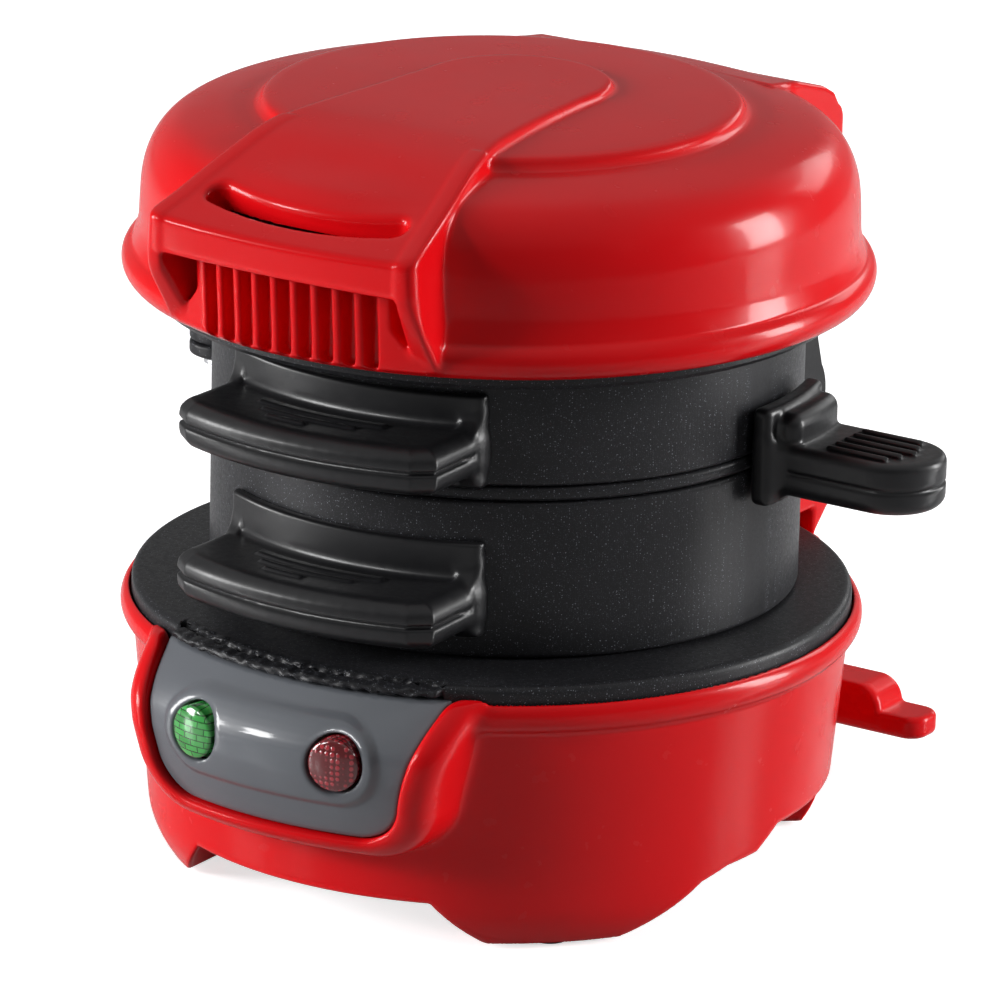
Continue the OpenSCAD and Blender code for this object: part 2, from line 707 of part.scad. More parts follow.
module ring_tube(z, h) {
    translate([0, stack_y, z]) rotate_extrude($fn = 160) polygon([
        [ring_r - ring_wall, 0], [ring_r - 0.5, 0], [ring_r, 0.5],
        [ring_r, h - 0.5], [ring_r - 0.5, h], [ring_r - ring_wall, h]
    ]);
}

module ring_bore(z, h) {
    translate([0, stack_y, z - 1]) cylinder(r = ring_r - ring_wall, h = h + 2, $fn = 160);
}

// Countersunk screw holes from inside the ring into its handle
module handle_holes(z, r, from, depth) {
    for (x = [-handle_screw_x, handle_screw_x]) translate([x, stack_y - from, z]) rotate([90, 0, 0])
        cylinder(r = r, h = depth);
}

// Where a straight screw at x meets a circle of the stack
function chord_y(r, x) = sqrt(r * r - x * x);
handle_screw_x = 16;
handle_head_y = chord_y(ring_r - ring_wall, handle_screw_x) + 0.6;

module lower_ring() {
    color([0.09, 0.09, 0.10]) difference() {
        union() {
            ring_tube(lower_ring_z, lower_ring_h);
            x_bar(lower_lug_x, lug_r, hinge_y, hinge_z);
            mirrored_x() translate([lower_lug_x[0], stack_y + ring_r - ring_wall, hinge_z - 4])
                cube([lower_lug_x[1] - lower_lug_x[0], hinge_y - stack_y - ring_r + ring_wall, 8]);
        }
        ring_bore(lower_ring_z, lower_ring_h);
        translate([-30, hinge_y, hinge_z]) rotate([0, 90, 0]) cylinder(r = hinge_bore_r, h = 60);
        handle_holes(lower_handle_z, screw_r + 0.1, 40, 20);
        handle_holes(lower_handle_z, screw_head_r + 0.1, 40, handle_head_y - 40 + 1.5);
    }
}

module upper_ring() {
    pivot_boss_r = 7;
    color([0.09, 0.09, 0.10]) difference() {
        union() {
            ring_tube(upper_ring_z, upper_ring_h);
            x_bar(upper_lug_x, lug_r, hinge_y, hinge_z);
            mirrored_x() {
                translate([upper_lug_x[0], hinge_y - lug_r, hinge_z])
                    cube([upper_lug_x[1] - upper_lug_x[0], 2 * lug_r - 2, upper_ring_z + 11 - hinge_z]);
                translate([upper_lug_x[0], stack_y + ring_r - 2, upper_ring_z + 1.5])
                    cube([upper_lug_x[1] - upper_lug_x[0], hinge_y - stack_y - ring_r + 2, 9.5]);
            }
            // Boss on the left for the pivot of the cooking plate
            translate([-pivot_x, stack_y, upper_ring_z]) cylinder(r = pivot_boss_r, h = 5);
            translate([-pivot_x, stack_y - pivot_boss_r, upper_ring_z])
                cube([pivot_x - ring_r + 2, 2 * pivot_boss_r, 5]);
        }
        ring_bore(upper_ring_z, upper_ring_h);
        translate([-30, hinge_y, hinge_z]) rotate([0, 90, 0]) cylinder(r = hinge_bore_r, h = 60);
        translate([-pivot_x, stack_y, upper_ring_z - 1]) cylinder(r = pivot_pin_d / 2, h = 10);
        handle_holes(upper_handle_z, screw_r + 0.1, 40, 20);
        handle_holes(upper_handle_z, screw_head_r + 0.1, 40, handle_head_y - 40 + 1.5);
    }
}

// A ring handle: a slab with a curved front, on a pad that hugs the ring
handle_t = 9;
pad_half_w = 27.6;
pad_fit = 0.05;

module ring_handle(slab_z, pad_z0, pad_z1, screw_z) {
    back_y = -40;
    front_arc = arc(0, 0, handle_front, 270 - 23.2, 270 + 23.2, 12);
    difference() {
        union() {
            // Slab with a chamfer round its top and bottom
            for (layer = [[0, 1.2, handle_t - 2.4], [1.2, 0, handle_t]])
                translate([0, 0, slab_z + (handle_t - layer[2]) / 2]) linear_extrude(layer[2]) polygon(concat(
                    [[pad_half_w - layer[0], back_y], [-pad_half_w + layer[0], back_y],
                     [-handle_half_w + layer[0], -handle_front + 6.5]],
                    [for (p = front_arc) [p[0] * (handle_half_w - layer[0]) / handle_half_w, p[1] + layer[0]]],
                    [[handle_half_w - layer[0], -handle_front + 6.5]]));
            // Pad on the ring
            intersection() {
                translate([0, stack_y, pad_z0]) cylinder(r = ring_r + 2.2, h = pad_z1 - pad_z0, $fn = 160);
                translate([-pad_half_w, -80, 0]) cube([2 * pad_half_w, 50, 200]);
            }
        }
        translate([0, stack_y, pad_z0 - 1]) cylinder(r = ring_r + pad_fit, h = pad_z1 - pad_z0 + 2, $fn = 160);
        handle_holes(screw_z, screw_r, 40, 24);
        // Parting groove round the edge of the slab
        translate([0, 0, slab_z + handle_t / 2 - 0.3]) difference() {
            translate([-60, -90, 0]) cube([120, 46, 0.6]);
            translate([-pad_half_w - 0.2, -50, -1]) cube([2 * pad_half_w - 0.6, 30, 3]);
            linear_extrude(3, center = true) polygon(concat(
                [[pad_half_w - 0.6, back_y], [-pad_half_w + 0.6, back_y],
                 [-handle_half_w + 0.6, -handle_front + 6.5]],
                [for (p = front_arc) [p[0] * 0.98, p[1] + 0.6]],
                [[handle_half_w - 0.6, -handle_front + 6.5]]));
        }
    }
    // Raised arcs on the top face
    for (i = [0 : 3]) intersection() {
        translate([0, 0, slab_z + handle_t - eps]) rotate_extrude($fn = 160)
            translate([handle_front - 12 + i * 2.6, 0]) square([0.8, 0.5]);
        translate([-20 + i * 3.4, -80, 0]) cube([36 - i * 3, 40, 200]);
    }
}

lower_slab_z = lower_ring_z + 6.4;
upper_slab_z = upper_ring_z + 2.6;
lower_handle_z = lower_slab_z + handle_t / 2;
upper_handle_z = upper_slab_z + handle_t / 2;

module lower_ring_handle() {
    color([0.11, 0.11, 0.12])
        ring_handle(lower_slab_z, lower_ring_z + 4.5, lower_ring_top - 7.4, lower_handle_z);
}

module upper_ring_handle() {
    color([0.11, 0.11, 0.12])
        ring_handle(upper_slab_z, upper_ring_z, upper_ring_top - 4.3, upper_handle_z);
}

module handle_screws(z) {
    color([0.75, 0.75, 0.77]) for (x = [-handle_screw_x, handle_screw_x])
        translate([x, stack_y - handle_head_y - screw_head_h + 0.3, z]) rotate([90, 0, 0])
            screw(11, screw_r - screw_fit, screw_head_r, 1.4);
}

module lower_handle_screws() {
    handle_screws(lower_handle_z);
}

module upper_handle_screws() {
    handle_screws(upper_handle_z);
}

// Cooking plate, its pivot and its handle

plate_ear_r = 7;

module plate_pivot_pin() {
    head_top = plate_z - 0.1;
    color([0.70, 0.71, 0.73]) translate([-pivot_x, stack_y, 0]) {
        translate([0, 0, head_top - 1.8]) cylinder(r = 4.2, h = 1.8 + eps);
        translate([0, 0, head_top]) cylinder(r = pivot_pin_d / 2, h = upper_ring_z + 5.8 - head_top);
        translate([0, 0, upper_ring_z + 5]) cylinder(r = 4, h = 1.6);
    }
}

module cooking_plate() {
    color([0.10, 0.10, 0.11]) difference() {
        union() {
            translate([0, stack_y, plate_z]) cylinder(r = ring_r, h = plate_t, $fn = 160);
            translate([-pivot_x, stack_y, plate_z]) cylinder(r = plate_ear_r, h = plate_t);
            translate([-pivot_x, stack_y - plate_ear_r, plate_z])
                cube([pivot_x - ring_r + 6, 2 * plate_ear_r, plate_t]);
            // Tang for the handle
            translate([ring_r - 6, handle_y - 6, plate_z]) cube([22, 12, plate_t]);
        }
        translate([-pivot_x, stack_y, plate_z - 1])
            cylinder(r = pivot_pin_d / 2 + pin_clearance, h = plate_t + 2);
        for (x = plate_screw_x) translate([x, handle_y, plate_z - 1]) cylinder(r = screw_r + 0.1, h = plate_t + 2);
    }
}

plate_screw_x = [ring_r + 6, ring_r + 13];
plate_pad_gap = 1.2;
plate_pad_half_w = 12;
arm_z = plate_z - 4.2;
handle_y = stack_y + plate_handle_y;

module plate_handle() {
    pad_z0 = arm_z - 2;
    pad_z1 = arm_z + 16.8;
    tip_r = plate_handle_w / 2;
    arm_top = arm_z + plate_handle_t;
    swing_clearance = 0.3;
    color([0.11, 0.11, 0.12]) difference() {
        union() {
            // Pad that follows the rings
            intersection() {
                translate([0, stack_y, pad_z0]) cylinder(r = ring_r + 5, h = pad_z1 - pad_z0, $fn = 160);
                translate([40, handle_y - plate_pad_half_w, 0]) cube([30, 2 * plate_pad_half_w, 200]);
            }
            // Arm with a round end
            translate([ring_r - 2, handle_y - tip_r, arm_z])
                cube([plate_handle_reach - ring_r + 2 - tip_r, 2 * tip_r, plate_handle_t]);
            translate([plate_handle_reach - tip_r, handle_y, arm_z]) cylinder(r = tip_r, h = plate_handle_t);
            // Raised lug at the root, over the tang
            translate([ring_r + 2, handle_y - 8, arm_top - eps]) cube([7, 16, 5.5]);
            // Grip ribs and a small bump under the tip
            for (i = [-2 : 2]) translate([ring_r + 14, handle_y + i * 3.2 - 0.5, arm_top - eps])
                cube([plate_handle_reach - ring_r - 18 - abs(i) * 1.2, 1, 0.7]);
            translate([plate_handle_reach - tip_r, handle_y, arm_z - 1]) cylinder(r = 4.5, h = 2);
        }
        // Face towards the rings, clear of them over the whole swing, and the slot for the tang
        translate([0, stack_y, pad_z0 - 1])
            cylinder(r = ring_r + plate_pad_gap, h = pad_z1 - pad_z0 + 2, $fn = 160);
        translate([-pivot_x, stack_y, pad_z0 - 1])
            cylinder(r = pivot_x + ring_r + swing_clearance, h = pad_z1 - pad_z0 + 2, $fn = 240);
        translate([ring_r - 8, handle_y - 6.05, plate_z - 0.05]) cube([24.1, 12.1, plate_t + 0.1]);
        for (x = plate_screw_x) translate([x, handle_y, arm_z - 2]) {
            cylinder(r = screw_r + 0.05, h = plate_z + 4 - arm_z);
            cylinder(r = screw_head_r + 0.1, h = 2 + screw_head_h);
        }
    }
}

module plate_handle_screws() {
    color([0.75, 0.75, 0.77]) for (x = plate_screw_x)
        translate([x, handle_y, arm_z + screw_head_h]) screw(plate_z + 1.8 - arm_z - screw_head_h);
}

// Lid

// Height on the lid's dome, counted down from its top
function dome_z(drop) = lid_top - drop;

module lid_dome(inset) {
    bead_round = 3.6;
    rim_r = lid_bead_r - 1.7;
    step_z = dome_z(1.6);
    rotate_extrude($fn = 160) polygon(concat(
        inset == 0 ? [[0, lid_z], [rim_r, lid_z]] : [[0, lid_z - 1], [rim_r - inset, lid_z - 1]],
        inset == 0 ? arc(lid_bead_r - bead_round, lid_z + 3, bead_round, -50, 50, 8)
                   : [[rim_r - inset, lid_z + 5]],
        [
            [lid_bead_r - 2.4 - inset, lid_z + 8.3], [lid_bead_r - 3.3 - inset, lid_z + 11.8],
            [lid_bead_r - 3.5 - inset, lid_z + 17.8], [lid_bead_r - 4.3 - inset, lid_z + 22.3],
            [lid_bead_r - 6.7 - inset, dome_z(10.1) - inset / 2], [60.2 - inset, dome_z(7.6) - inset],
            [55 - inset, dome_z(6) - inset], [disc_r + 2.2 - inset, dome_z(4.7) - inset],
            [disc_r + 0.6 - inset, dome_z(4) - inset], [disc_r - 0.6 - inset, dome_z(2.2) - inset],
            [disc_r - 2.6 - inset, step_z - inset], [30, dome_z(0.7) - inset],
            [15, dome_z(0.3) - inset], [0, dome_z(0) - inset]
        ]
    ));
}

grip_top_z = lid_z + 22.8;
grip_lip = 6.5;
grip_wall = 3;
rear_half_w = 30;
rear_y = 75.2;

// Plan outline of the raised bridge from the grip to the middle of the lid
module bridge_plan() {
    polygon(concat(
        [[-grip_half_w, -grip_front + 1.5], [-grip_half_w + 1, -grip_front]],
        arc(0, grip_front * 1.5, grip_front * 2.5 + 0.6, 270 - 8.4, 270 + 8.4, 8),
        [[grip_half_w - 1, -grip_front], [grip_half_w, -grip_front + 1.5]],
        arc(0, 0, 20, 0, 180, 16)
    ));
}

// Side outline of the bridge: over the top, back down inside the dome
module bridge_side(x0, x1) {
    yz_slab(x0, x1, [
        [-grip_front - 2, grip_top_z - grip_lip], [-grip_front - 2, grip_top_z],
        [-grip_front + 2, grip_top_z + 0.8], [-60, grip_top_z + 5.5], [-45, dome_z(3.6)],
        [-30, dome_z(0.7)], [-15, dome_z(-0.4)], [0, dome_z(-0.6)], [20, dome_z(-0.4)],
        [20, dome_z(4)], [-40, dome_z(8.5)], [-63, grip_top_z - grip_lip]
    ]);
}

module grille_cuts() {
    pitch = 2 * (grip_half_w - grip_wall - 2) / rib_count;
    for (i = [0 : rib_count - 1]) let (x = (i - (rib_count - 1) / 2) * pitch)
        translate([x - 1.3, -72, lid_z + 3.4]) cube([2.6, 24, grip_top_z - grip_lip - lid_z - 4.4]);
}

module lid_shell() {
    color([0.72, 0.02, 0.03]) difference() {
        union() {
            lid_dome(0);
            // Bridge and grip
            intersection() {
                bridge_side(-40, 40);
                linear_extrude(400) bridge_plan();
            }
            // Cheeks at the two ends of the grille
            mirrored_x() yz_slab(grip_half_w - grip_wall, grip_half_w, [
                [-grip_front + 1, grip_top_z - 2], [-grip_front + 1, grip_top_z - grip_lip],
                [-66, lid_z + 2], [-58, lid_z + 2], [-58, grip_top_z - 2]
            ]);
            // Housing over the hinge arms
            yz_slab(-rear_half_w, rear_half_w, [
                [56, lid_z], [rear_y, lid_z], [rear_y, lid_z + 17], [rear_y - 1.5, lid_z + 22.8],
                [rear_y - 4.3, lid_z + 25.8], [57.7, lid_z + 29.6], [50, lid_z + 30.6], [50, lid_z + 18]
            ]);
        }
        difference() {
            lid_dome(lid_wall);
            // Bosses for the plate and the arms hang from the dome
            for (a = [0 : 3]) at_angle(45 + 90 * a, lid_boss_r, upper_plate_top) cylinder(r = 3.6, h = 60);
            for (x = [-arm_screw_x, arm_screw_x]) translate([x, arm_screw_y, arm_plate_z + 2.5])
                cylinder(r = 3.6, h = 40);
        }
        // Hollow of the hinge housing
        difference() {
            yz_slab(-rear_half_w + 2.2, rear_half_w - 2.2, [
                [50, lid_z - 1], [rear_y - 2.2, lid_z - 1], [rear_y - 2.2, lid_z + 16],
                [rear_y - 3.6, lid_z + 21.6], [rear_y - 5, lid_z + 23.8], [57, lid_z + 27], [50, lid_z + 27]
            ]);
            for (x = [-arm_screw_x, arm_screw_x]) translate([x, arm_screw_y, arm_plate_z + 2.5])
                cylinder(r = 3.6, h = 40);
        }
        grille_cuts();
        // Curved slot along the front of the grip
        intersection() {
            translate([0, 0, grip_top_z - 1]) rotate_extrude($fn = 160) translate([64.5, 0]) square([4.5, 20]);
            translate([-22.5, -80, 0]) cube([45, 40, 300]);
        }
        // Seat of the heating plate and its screws
        translate([0, 0, upper_plate_z - 1]) cylinder(r = upper_plate_r + 0.3, h = upper_plate_t + 1.05, $fn = 160);
        for (a = [0 : 3]) at_angle(45 + 90 * a, lid_boss_r, upper_plate_z) cylinder(r = screw_r + screw_fit, h = 14);
        for (x = [-arm_screw_x, arm_screw_x]) translate([x, arm_screw_y, arm_plate_z])
            cylinder(r = screw_r + screw_fit, h = 10);
    }
}

lid_boss_r = 50;
arm_screw_x = 12;
arm_screw_y = 66;
arm_plate_z = lid_z + 9;

module upper_heating_plate() {
    color([0.10, 0.10, 0.11]) difference() {
        translate([0, 0, upper_plate_z]) rotate_extrude($fn = 160) polygon([
            [0, 0], [upper_plate_r - 1, 0], [upper_plate_r, 1], [upper_plate_r, upper_plate_t],
            [0, upper_plate_t]
        ]);
        for (a = [0 : 3]) at_angle(45 + 90 * a, lid_boss_r, upper_plate_z - 1) {
            cylinder(r = screw_r + 0.2, h = upper_plate_t + 2);
            cylinder(r = screw_head_r + 0.2, h = 1 + screw_head_h);
        }
        // Clear of the hinge arms and their plate
        translate([-28, 62.9, upper_plate_z - 1]) cube([56, 10, upper_plate_t + 2]);
    }
}

module upper_plate_screws() {
    color([0.75, 0.75, 0.77]) for (a = [0 : 3])
        at_angle(45 + 90 * a, lid_boss_r, upper_plate_z + screw_head_h) screw(10);
}

upper_element_z = upper_plate_top + element_d / 2 + 0.05;

module upper_heating_element() {
    color([0.45, 0.43, 0.42]) element(upper_element_z, 12);
}

upper_shield_z = upper_plate_top + element_d + 4;

module upper_heat_shield() {
    color([0.72, 0.73, 0.74]) difference() {
        rotate_extrude() polygon([
            [0, upper_shield_z], [44.9, upper_shield_z], [45.7, upper_shield_z - 0.8],
            [45.7, upper_plate_top], [49, upper_plate_top], [49, upper_plate_top + 0.8],
            [46.5, upper_plate_top + 0.8], [46.5, upper_shield_z], [45.5, upper_shield_z + 0.8],
            [0, upper_shield_z + 0.8]
        ]);
        for (side = [-1, 1]) rotate([0, 0, side * (end_angle + 4)])
            translate([0, element_bend_r, upper_plate_top + 1]) cylinder(r = 3.4, h = 40);
        for (a = [0 : 3]) at_angle(45 + 90 * a, lid_boss_r, 0) cylinder(r = 4, h = 300);
    }
}

module upper_thermal_fuse() {
    color([0.88, 0.86, 0.80]) translate([-8, 10, upper_shield_z + 3.5]) rotate([0, 90, 0]) {
        cylinder(r = 2.6, h = 16);
        translate([0, 0, -6]) cylinder(r = 0.8, h = 28);
    }
}

module lid_wiring() {
    end_x = element_bend_r * sin(24);
    end_y = element_bend_r * cos(24);
    top_z = upper_element_z + 12;
    color([0.85, 0.80, 0.70]) for (side = [-1, 1])
        wire([[side * end_x, end_y, top_z + 1.1], [side * 16, 44, top_z + 2.5], [side * 8, 50, top_z],
              [side * 5, 58, lid_z + 12.5], [side * 4, 66, lid_z + 12.5]], wire_r);
}

// Black arms that carry the lid on the hinge pin
module lid_hinge_arms() {
    color([0.09, 0.09, 0.10]) difference() {
        union() {
            x_bar(lid_arm_x, lid_knuckle_r, hinge_y, hinge_z);
            mirrored_x() yz_slab(lid_arm_x[0], lid_arm_x[1], [
                [hinge_y - lid_knuckle_r * 0.9, hinge_z + 3], [hinge_y + lid_knuckle_r * 0.9, hinge_z + 3],
                [hinge_y + 5.5, hinge_z + 13], [hinge_y + 5.5, arm_plate_z + 2.5],
                [hinge_y - 2.4, arm_plate_z + 2.5], [hinge_y - 2.4, upper_ring_top - 5],
                [hinge_y - 5, upper_ring_top - 10], [hinge_y - 5, hinge_z + 13]
            ]);
            translate([-lid_arm_x[1], hinge_y - 2.4, arm_plate_z]) cube([2 * lid_arm_x[1], 7.9, 2.5]);
        }
        translate([-40, hinge_y, hinge_z]) rotate([0, 90, 0]) cylinder(r = hinge_bore_r, h = 80);
        for (x = [-arm_screw_x, arm_screw_x]) translate([x, arm_screw_y, arm_plate_z - 1])
            cylinder(r = screw_r + 0.1, h = 6);
    }
}

module lid_arm_screws() {
    color([0.75, 0.75, 0.77]) for (x = [-arm_screw_x, arm_screw_x])
        translate([x, arm_screw_y, arm_plate_z]) screw(9, screw_r, 2.3, 1.4);
}

base_shell();
bottom_cover();
bottom_cover_screws();
foot_pads();
control_panel();
green_lens();
red_lens();
lamp_carrier();
indicator_lamps();
lower_heating_plate();
lower_heating_element();
lower_heat_shield();
lower_plate_screws();
thermostat();
thermal_fuse();
terminal_block();
base_wiring();
cord_gland();
cord_wrap();
cord_wrap_screws();
hinge_bracket();
hinge_bracket_screws();
hinge_pin();
lower_ring();
lower_ring_handle();
lower_handle_screws();
upper_ring();
upper_ring_handle();
upper_handle_screws();
plate_pivot_pin();
cooking_plate();
plate_handle();
plate_handle_screws();
lid_shell();
upper_heating_plate();
upper_heating_element();
upper_heat_shield();
upper_plate_screws();
upper_thermal_fuse();
lid_wiring();
lid_hinge_arms();
lid_arm_screws();
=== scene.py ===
import json
import math

import bmesh
import bpy
import numpy as np
import openvdb
from mathutils import Matrix, Vector


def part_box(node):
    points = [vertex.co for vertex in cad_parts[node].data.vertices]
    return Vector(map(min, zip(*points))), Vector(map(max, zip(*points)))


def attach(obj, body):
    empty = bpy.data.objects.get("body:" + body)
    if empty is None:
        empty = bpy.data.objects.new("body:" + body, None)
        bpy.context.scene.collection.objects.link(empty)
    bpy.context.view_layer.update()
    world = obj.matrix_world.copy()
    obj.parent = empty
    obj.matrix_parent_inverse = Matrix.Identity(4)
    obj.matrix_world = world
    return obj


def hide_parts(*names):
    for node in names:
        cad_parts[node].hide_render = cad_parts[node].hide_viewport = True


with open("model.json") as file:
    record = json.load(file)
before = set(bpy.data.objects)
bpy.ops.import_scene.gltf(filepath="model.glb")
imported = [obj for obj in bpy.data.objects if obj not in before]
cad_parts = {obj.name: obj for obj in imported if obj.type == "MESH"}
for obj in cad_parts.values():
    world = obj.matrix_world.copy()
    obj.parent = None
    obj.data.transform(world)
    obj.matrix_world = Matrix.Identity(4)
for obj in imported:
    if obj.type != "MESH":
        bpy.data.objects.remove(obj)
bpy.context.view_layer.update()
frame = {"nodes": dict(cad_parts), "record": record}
MM = 0.001

# Outlines of turned shapes run past the axis to this radius, so that no face lies on the axis
PAST_AXIS = -15


def cad(node):
    """Lowest and highest corner of a CAD node in millimetres"""
    low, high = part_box(node)
    return np.array(low) / MM, np.array(high) / MM


def finish_piece(piece, body, slot, *nodes):
    """Put a piece on its body, in place of the CAD nodes that it stands for"""
    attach(piece, body)
    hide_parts(*nodes)
    return piece


# DISTANCE FIELDS: each shape is a function of a Grid or of Points that gives signed distances in
# millimetres, negative inside. The last number that smin, smax, rod and block take is the size of
# the fillet or rounding there.


class Grid:
    """Sample points of a box, with x, y and z ready to broadcast"""

    def __init__(self, low, step, counts):
        axes = [(l + step * np.arange(n)).astype(np.float32) for l, n in zip(low, counts)]
        self.x, self.y, self.z = np.meshgrid(*axes, indexing="ij", sparse=True)


class Points:
    """Loose sample points with the same fields as a Grid"""

    def __init__(self, co):
        self.x, self.y, self.z = co[:, 0], co[:, 1], co[:, 2]


def smin(a, b, k):
    """Union of two fields with a fillet of about k"""
    h = np.maximum(k - np.abs(a - b), 0) / k
    return np.minimum(a, b) - h * h * k * 0.25


def smax(a, b, k):
    """Intersection of two fields with a rounding of about k"""
    return -smin(-a, -b, k)


def outline_distance(px, py, points):
    """Signed distance to a closed outline, negative inside"""
    best = np.full(np.broadcast(px, py).shape, 1e9, np.float32)
    inside = np.zeros(best.shape, bool)
    count = len(points)
    for i in range(count):
        ax, ay = points[i]
        bx, by = points[(i + 1) % count]
        ex, ey = bx - ax, by - ay
        length = ex * ex + ey * ey
        if length < 1e-12:
            continue
        wx, wy = px - ax, py - ay
        t = np.clip((wx * ex + wy * ey) / length, 0, 1)
        best = np.minimum(best, (wx - ex * t) ** 2 + (wy - ey * t) ** 2)
        if ay != by:
            crosses = ((py >= ay) != (py >= by)) & (px < ex * (py - ay) / ey + ax)
            inside ^= crosses
    return np.where(inside, -1, 1) * np.sqrt(best)


def arc(cx, cy, r, a0, a1, n=8):
    """Points along a circle arc, angles in degrees"""
    turns = np.radians(np.linspace(a0, a1, n + 1))
    return [(cx + r * math.cos(a), cy + r * math.sin(a)) for a in turns]


def smooth_path(points, n=6):
    """Points along a curve through the given ones"""
    p = [np.array(q, float) for q in points]
    out = []
    for i in range(len(p) - 1):
        before = p[max(i - 1, 0)]
        after = p[min(i + 2, len(p) - 1)]
        m0 = (p[i + 1] - before) / 2
        m1 = (after - p[i]) / 2
        for t in np.arange(n) / n:
            out.append(tuple((2 * t**3 - 3 * t**2 + 1) * p[i] + (t**3 - 2 * t**2 + t) * m0
                             + (3 * t**2 - 2 * t**3) * p[i + 1] + (t**3 - t**2) * m1))
    out.append(tuple(p[-1]))
    return out


class Table:
    """Signed distances of an outline on a fine flat table, read between its cells"""

    def __init__(self, points, margin=6, step=0.15):
        co = np.array(points)
        self.low = co.min(0) - margin
        self.step = step
        self.size = np.ceil((co.max(0) + margin - self.low) / step).astype(int) + 1
        u = (self.low[0] + step * np.arange(self.size[0])).astype(np.float32)[:, None]
        v = (self.low[1] + step * np.arange(self.size[1])).astype(np.float32)[None, :]
        self.cells = outline_distance(u, v, points).astype(np.float32)

    def __call__(self, u, v):
        u, v = np.broadcast_arrays((u - self.low[0]) / self.step, (v - self.low[1]) / self.step)
        u = np.clip(u, 0, self.size[0] - 1.001)
        v = np.clip(v, 0, self.size[1] - 1.001)
        i, j = u.astype(np.int32), v.astype(np.int32)
        fu, fv = u - i, v - j
        c = self.cells
        low = c[i, j] * (1 - fu) + c[i + 1, j] * fu
        high = c[i, j + 1] * (1 - fu) + c[i + 1, j + 1] * fu
        return low * (1 - fv) + high * fv


def radius(g, cx=0.0, cy=0.0):
    """Distance from an upright axis"""
    return np.sqrt((g.x - cx) ** 2 + (g.y - cy) ** 2)


def slab(value, low, high):
    """Distance to a layer between two levels"""
    return np.maximum(low - value, value - high)


def block(g, low, high, r=0.0):
    """A box with rounded edges"""
    q = [np.abs(c - (l + h) / 2) - ((h - l) / 2 - r)
         for c, l, h in zip((g.x, g.y, g.z), low, high)]
    outer = np.sqrt(sum(np.maximum(c, 0) ** 2 for c in q))
    return outer + np.minimum(np.maximum(np.maximum(q[0], q[1]), q[2]), 0) - r


def rod(distance, along, low, high, r=0.0):
    """Capped extrusion of a flat distance, its ends rounded by r"""
    side = distance + r
    end = slab(along, low, high) + r
    return (np.sqrt(np.maximum(side, 0) ** 2 + np.maximum(end, 0) ** 2)
            + np.minimum(np.maximum(side, end), 0) - r)


def gradient(field, co, h):
    """Slope of a field at points, from the corners of a tetrahedron of half size h round each"""
    corners = np.array([(1, -1, -1), (-1, -1, 1), (-1, 1, -1), (1, 1, 1)], np.float32)
    total = sum(c * field(Points(co + c * h))[:, None] for c in corners)
    return total / (4 * h)


# MESHES from fields. Lengths named in steps are multiples of the sampling step.

FINENESS = 1.0
# Steps along a block's side, and how many such sides from its middle the surface may pass for
# the block to be worked out point by point
BLOCK = 4
NEAR_BLOCKS = 1.25
# Steps beyond which a distance isn't followed, and points worked out at a time
BAND_STEPS = 3
BATCH = 400000
# Passes that even out the faces, and passes that move points back onto the surface
EVEN_PASSES = 2
SNAP_PASSES = 2
# Millimetres over which slopes are taken, for moving points and for the normals
SNAP_PROBE = 0.1
NORMAL_PROBE = 0.32
# Least squared slope that a move is divided by, and the longest move in steps
FLAT_SLOPE = 0.2
SNAP_STEPS = 0.4
# Points nearer than this many steps become one
MERGE_STEPS = 0.25


def sample(field, low, step, counts):
    """Field values on a fine grid, worked out only in blocks that the surface passes through"""
    blocks = [math.ceil(n / BLOCK) for n in counts]
    rough = field(Grid(low + (BLOCK - 1) / 2 * step, step * BLOCK, blocks))
    rough = np.broadcast_to(rough, blocks)
    limit = BAND_STEPS * step
    values = (np.sign(rough) * limit).astype(np.float32)
    for axis in range(3):
        values = np.repeat(values, BLOCK, axis)
    near = np.argwhere(np.abs(rough) < NEAR_BLOCKS * BLOCK * step)
    within = np.indices((BLOCK, BLOCK, BLOCK)).reshape(3, -1).T
    index = (near[:, None, :] * BLOCK + within[None]).reshape(-1, 3)
    for part in np.array_split(index, max(1, len(index) // BATCH)):
        found = field(Points((low + part * step).astype(np.float32)))
        values[tuple(part.T)] = np.clip(found, -limit, limit)
    return np.ascontiguousarray(values)


def settle(mesh, field, step):
    """Even out a mesh's faces, then move its points onto the field's surface; returns them"""
    flat = np.empty(len(mesh.vertices) * 3, np.float32)
    mesh.vertices.foreach_get("co", flat)
    co = flat.reshape(-1, 3) / MM
    ends = np.empty(len(mesh.edges) * 2, np.int32)
    mesh.edges.foreach_get("vertices", ends)
    ends = ends.reshape(-1, 2)
    both = np.concatenate([ends, ends[:, ::-1]])
    count = np.maximum(np.bincount(both[:, 0], minlength=len(co)), 1)
    for _ in range(EVEN_PASSES):
        middle = np.stack([np.bincount(both[:, 0], co[both[:, 1], k], len(co))
                           for k in range(3)], 1)
        co = (co * 0.5 + middle / count[:, None] * 0.5).astype(np.float32)
    for _ in range(SNAP_PASSES):
        slope = gradient(field, co, SNAP_PROBE)
        size = np.maximum((slope ** 2).sum(1), FLAT_SLOPE)
        move = -slope * (field(Points(co)) / size)[:, None]
        length = np.sqrt((move ** 2).sum(1))[:, None]
        co = co + move * np.minimum(1, SNAP_STEPS * step / np.maximum(length, 1e-6))
    co = co.astype(np.float32)
    mesh.vertices.foreach_set("co", (co * MM).ravel())
    mesh.update()
    return co


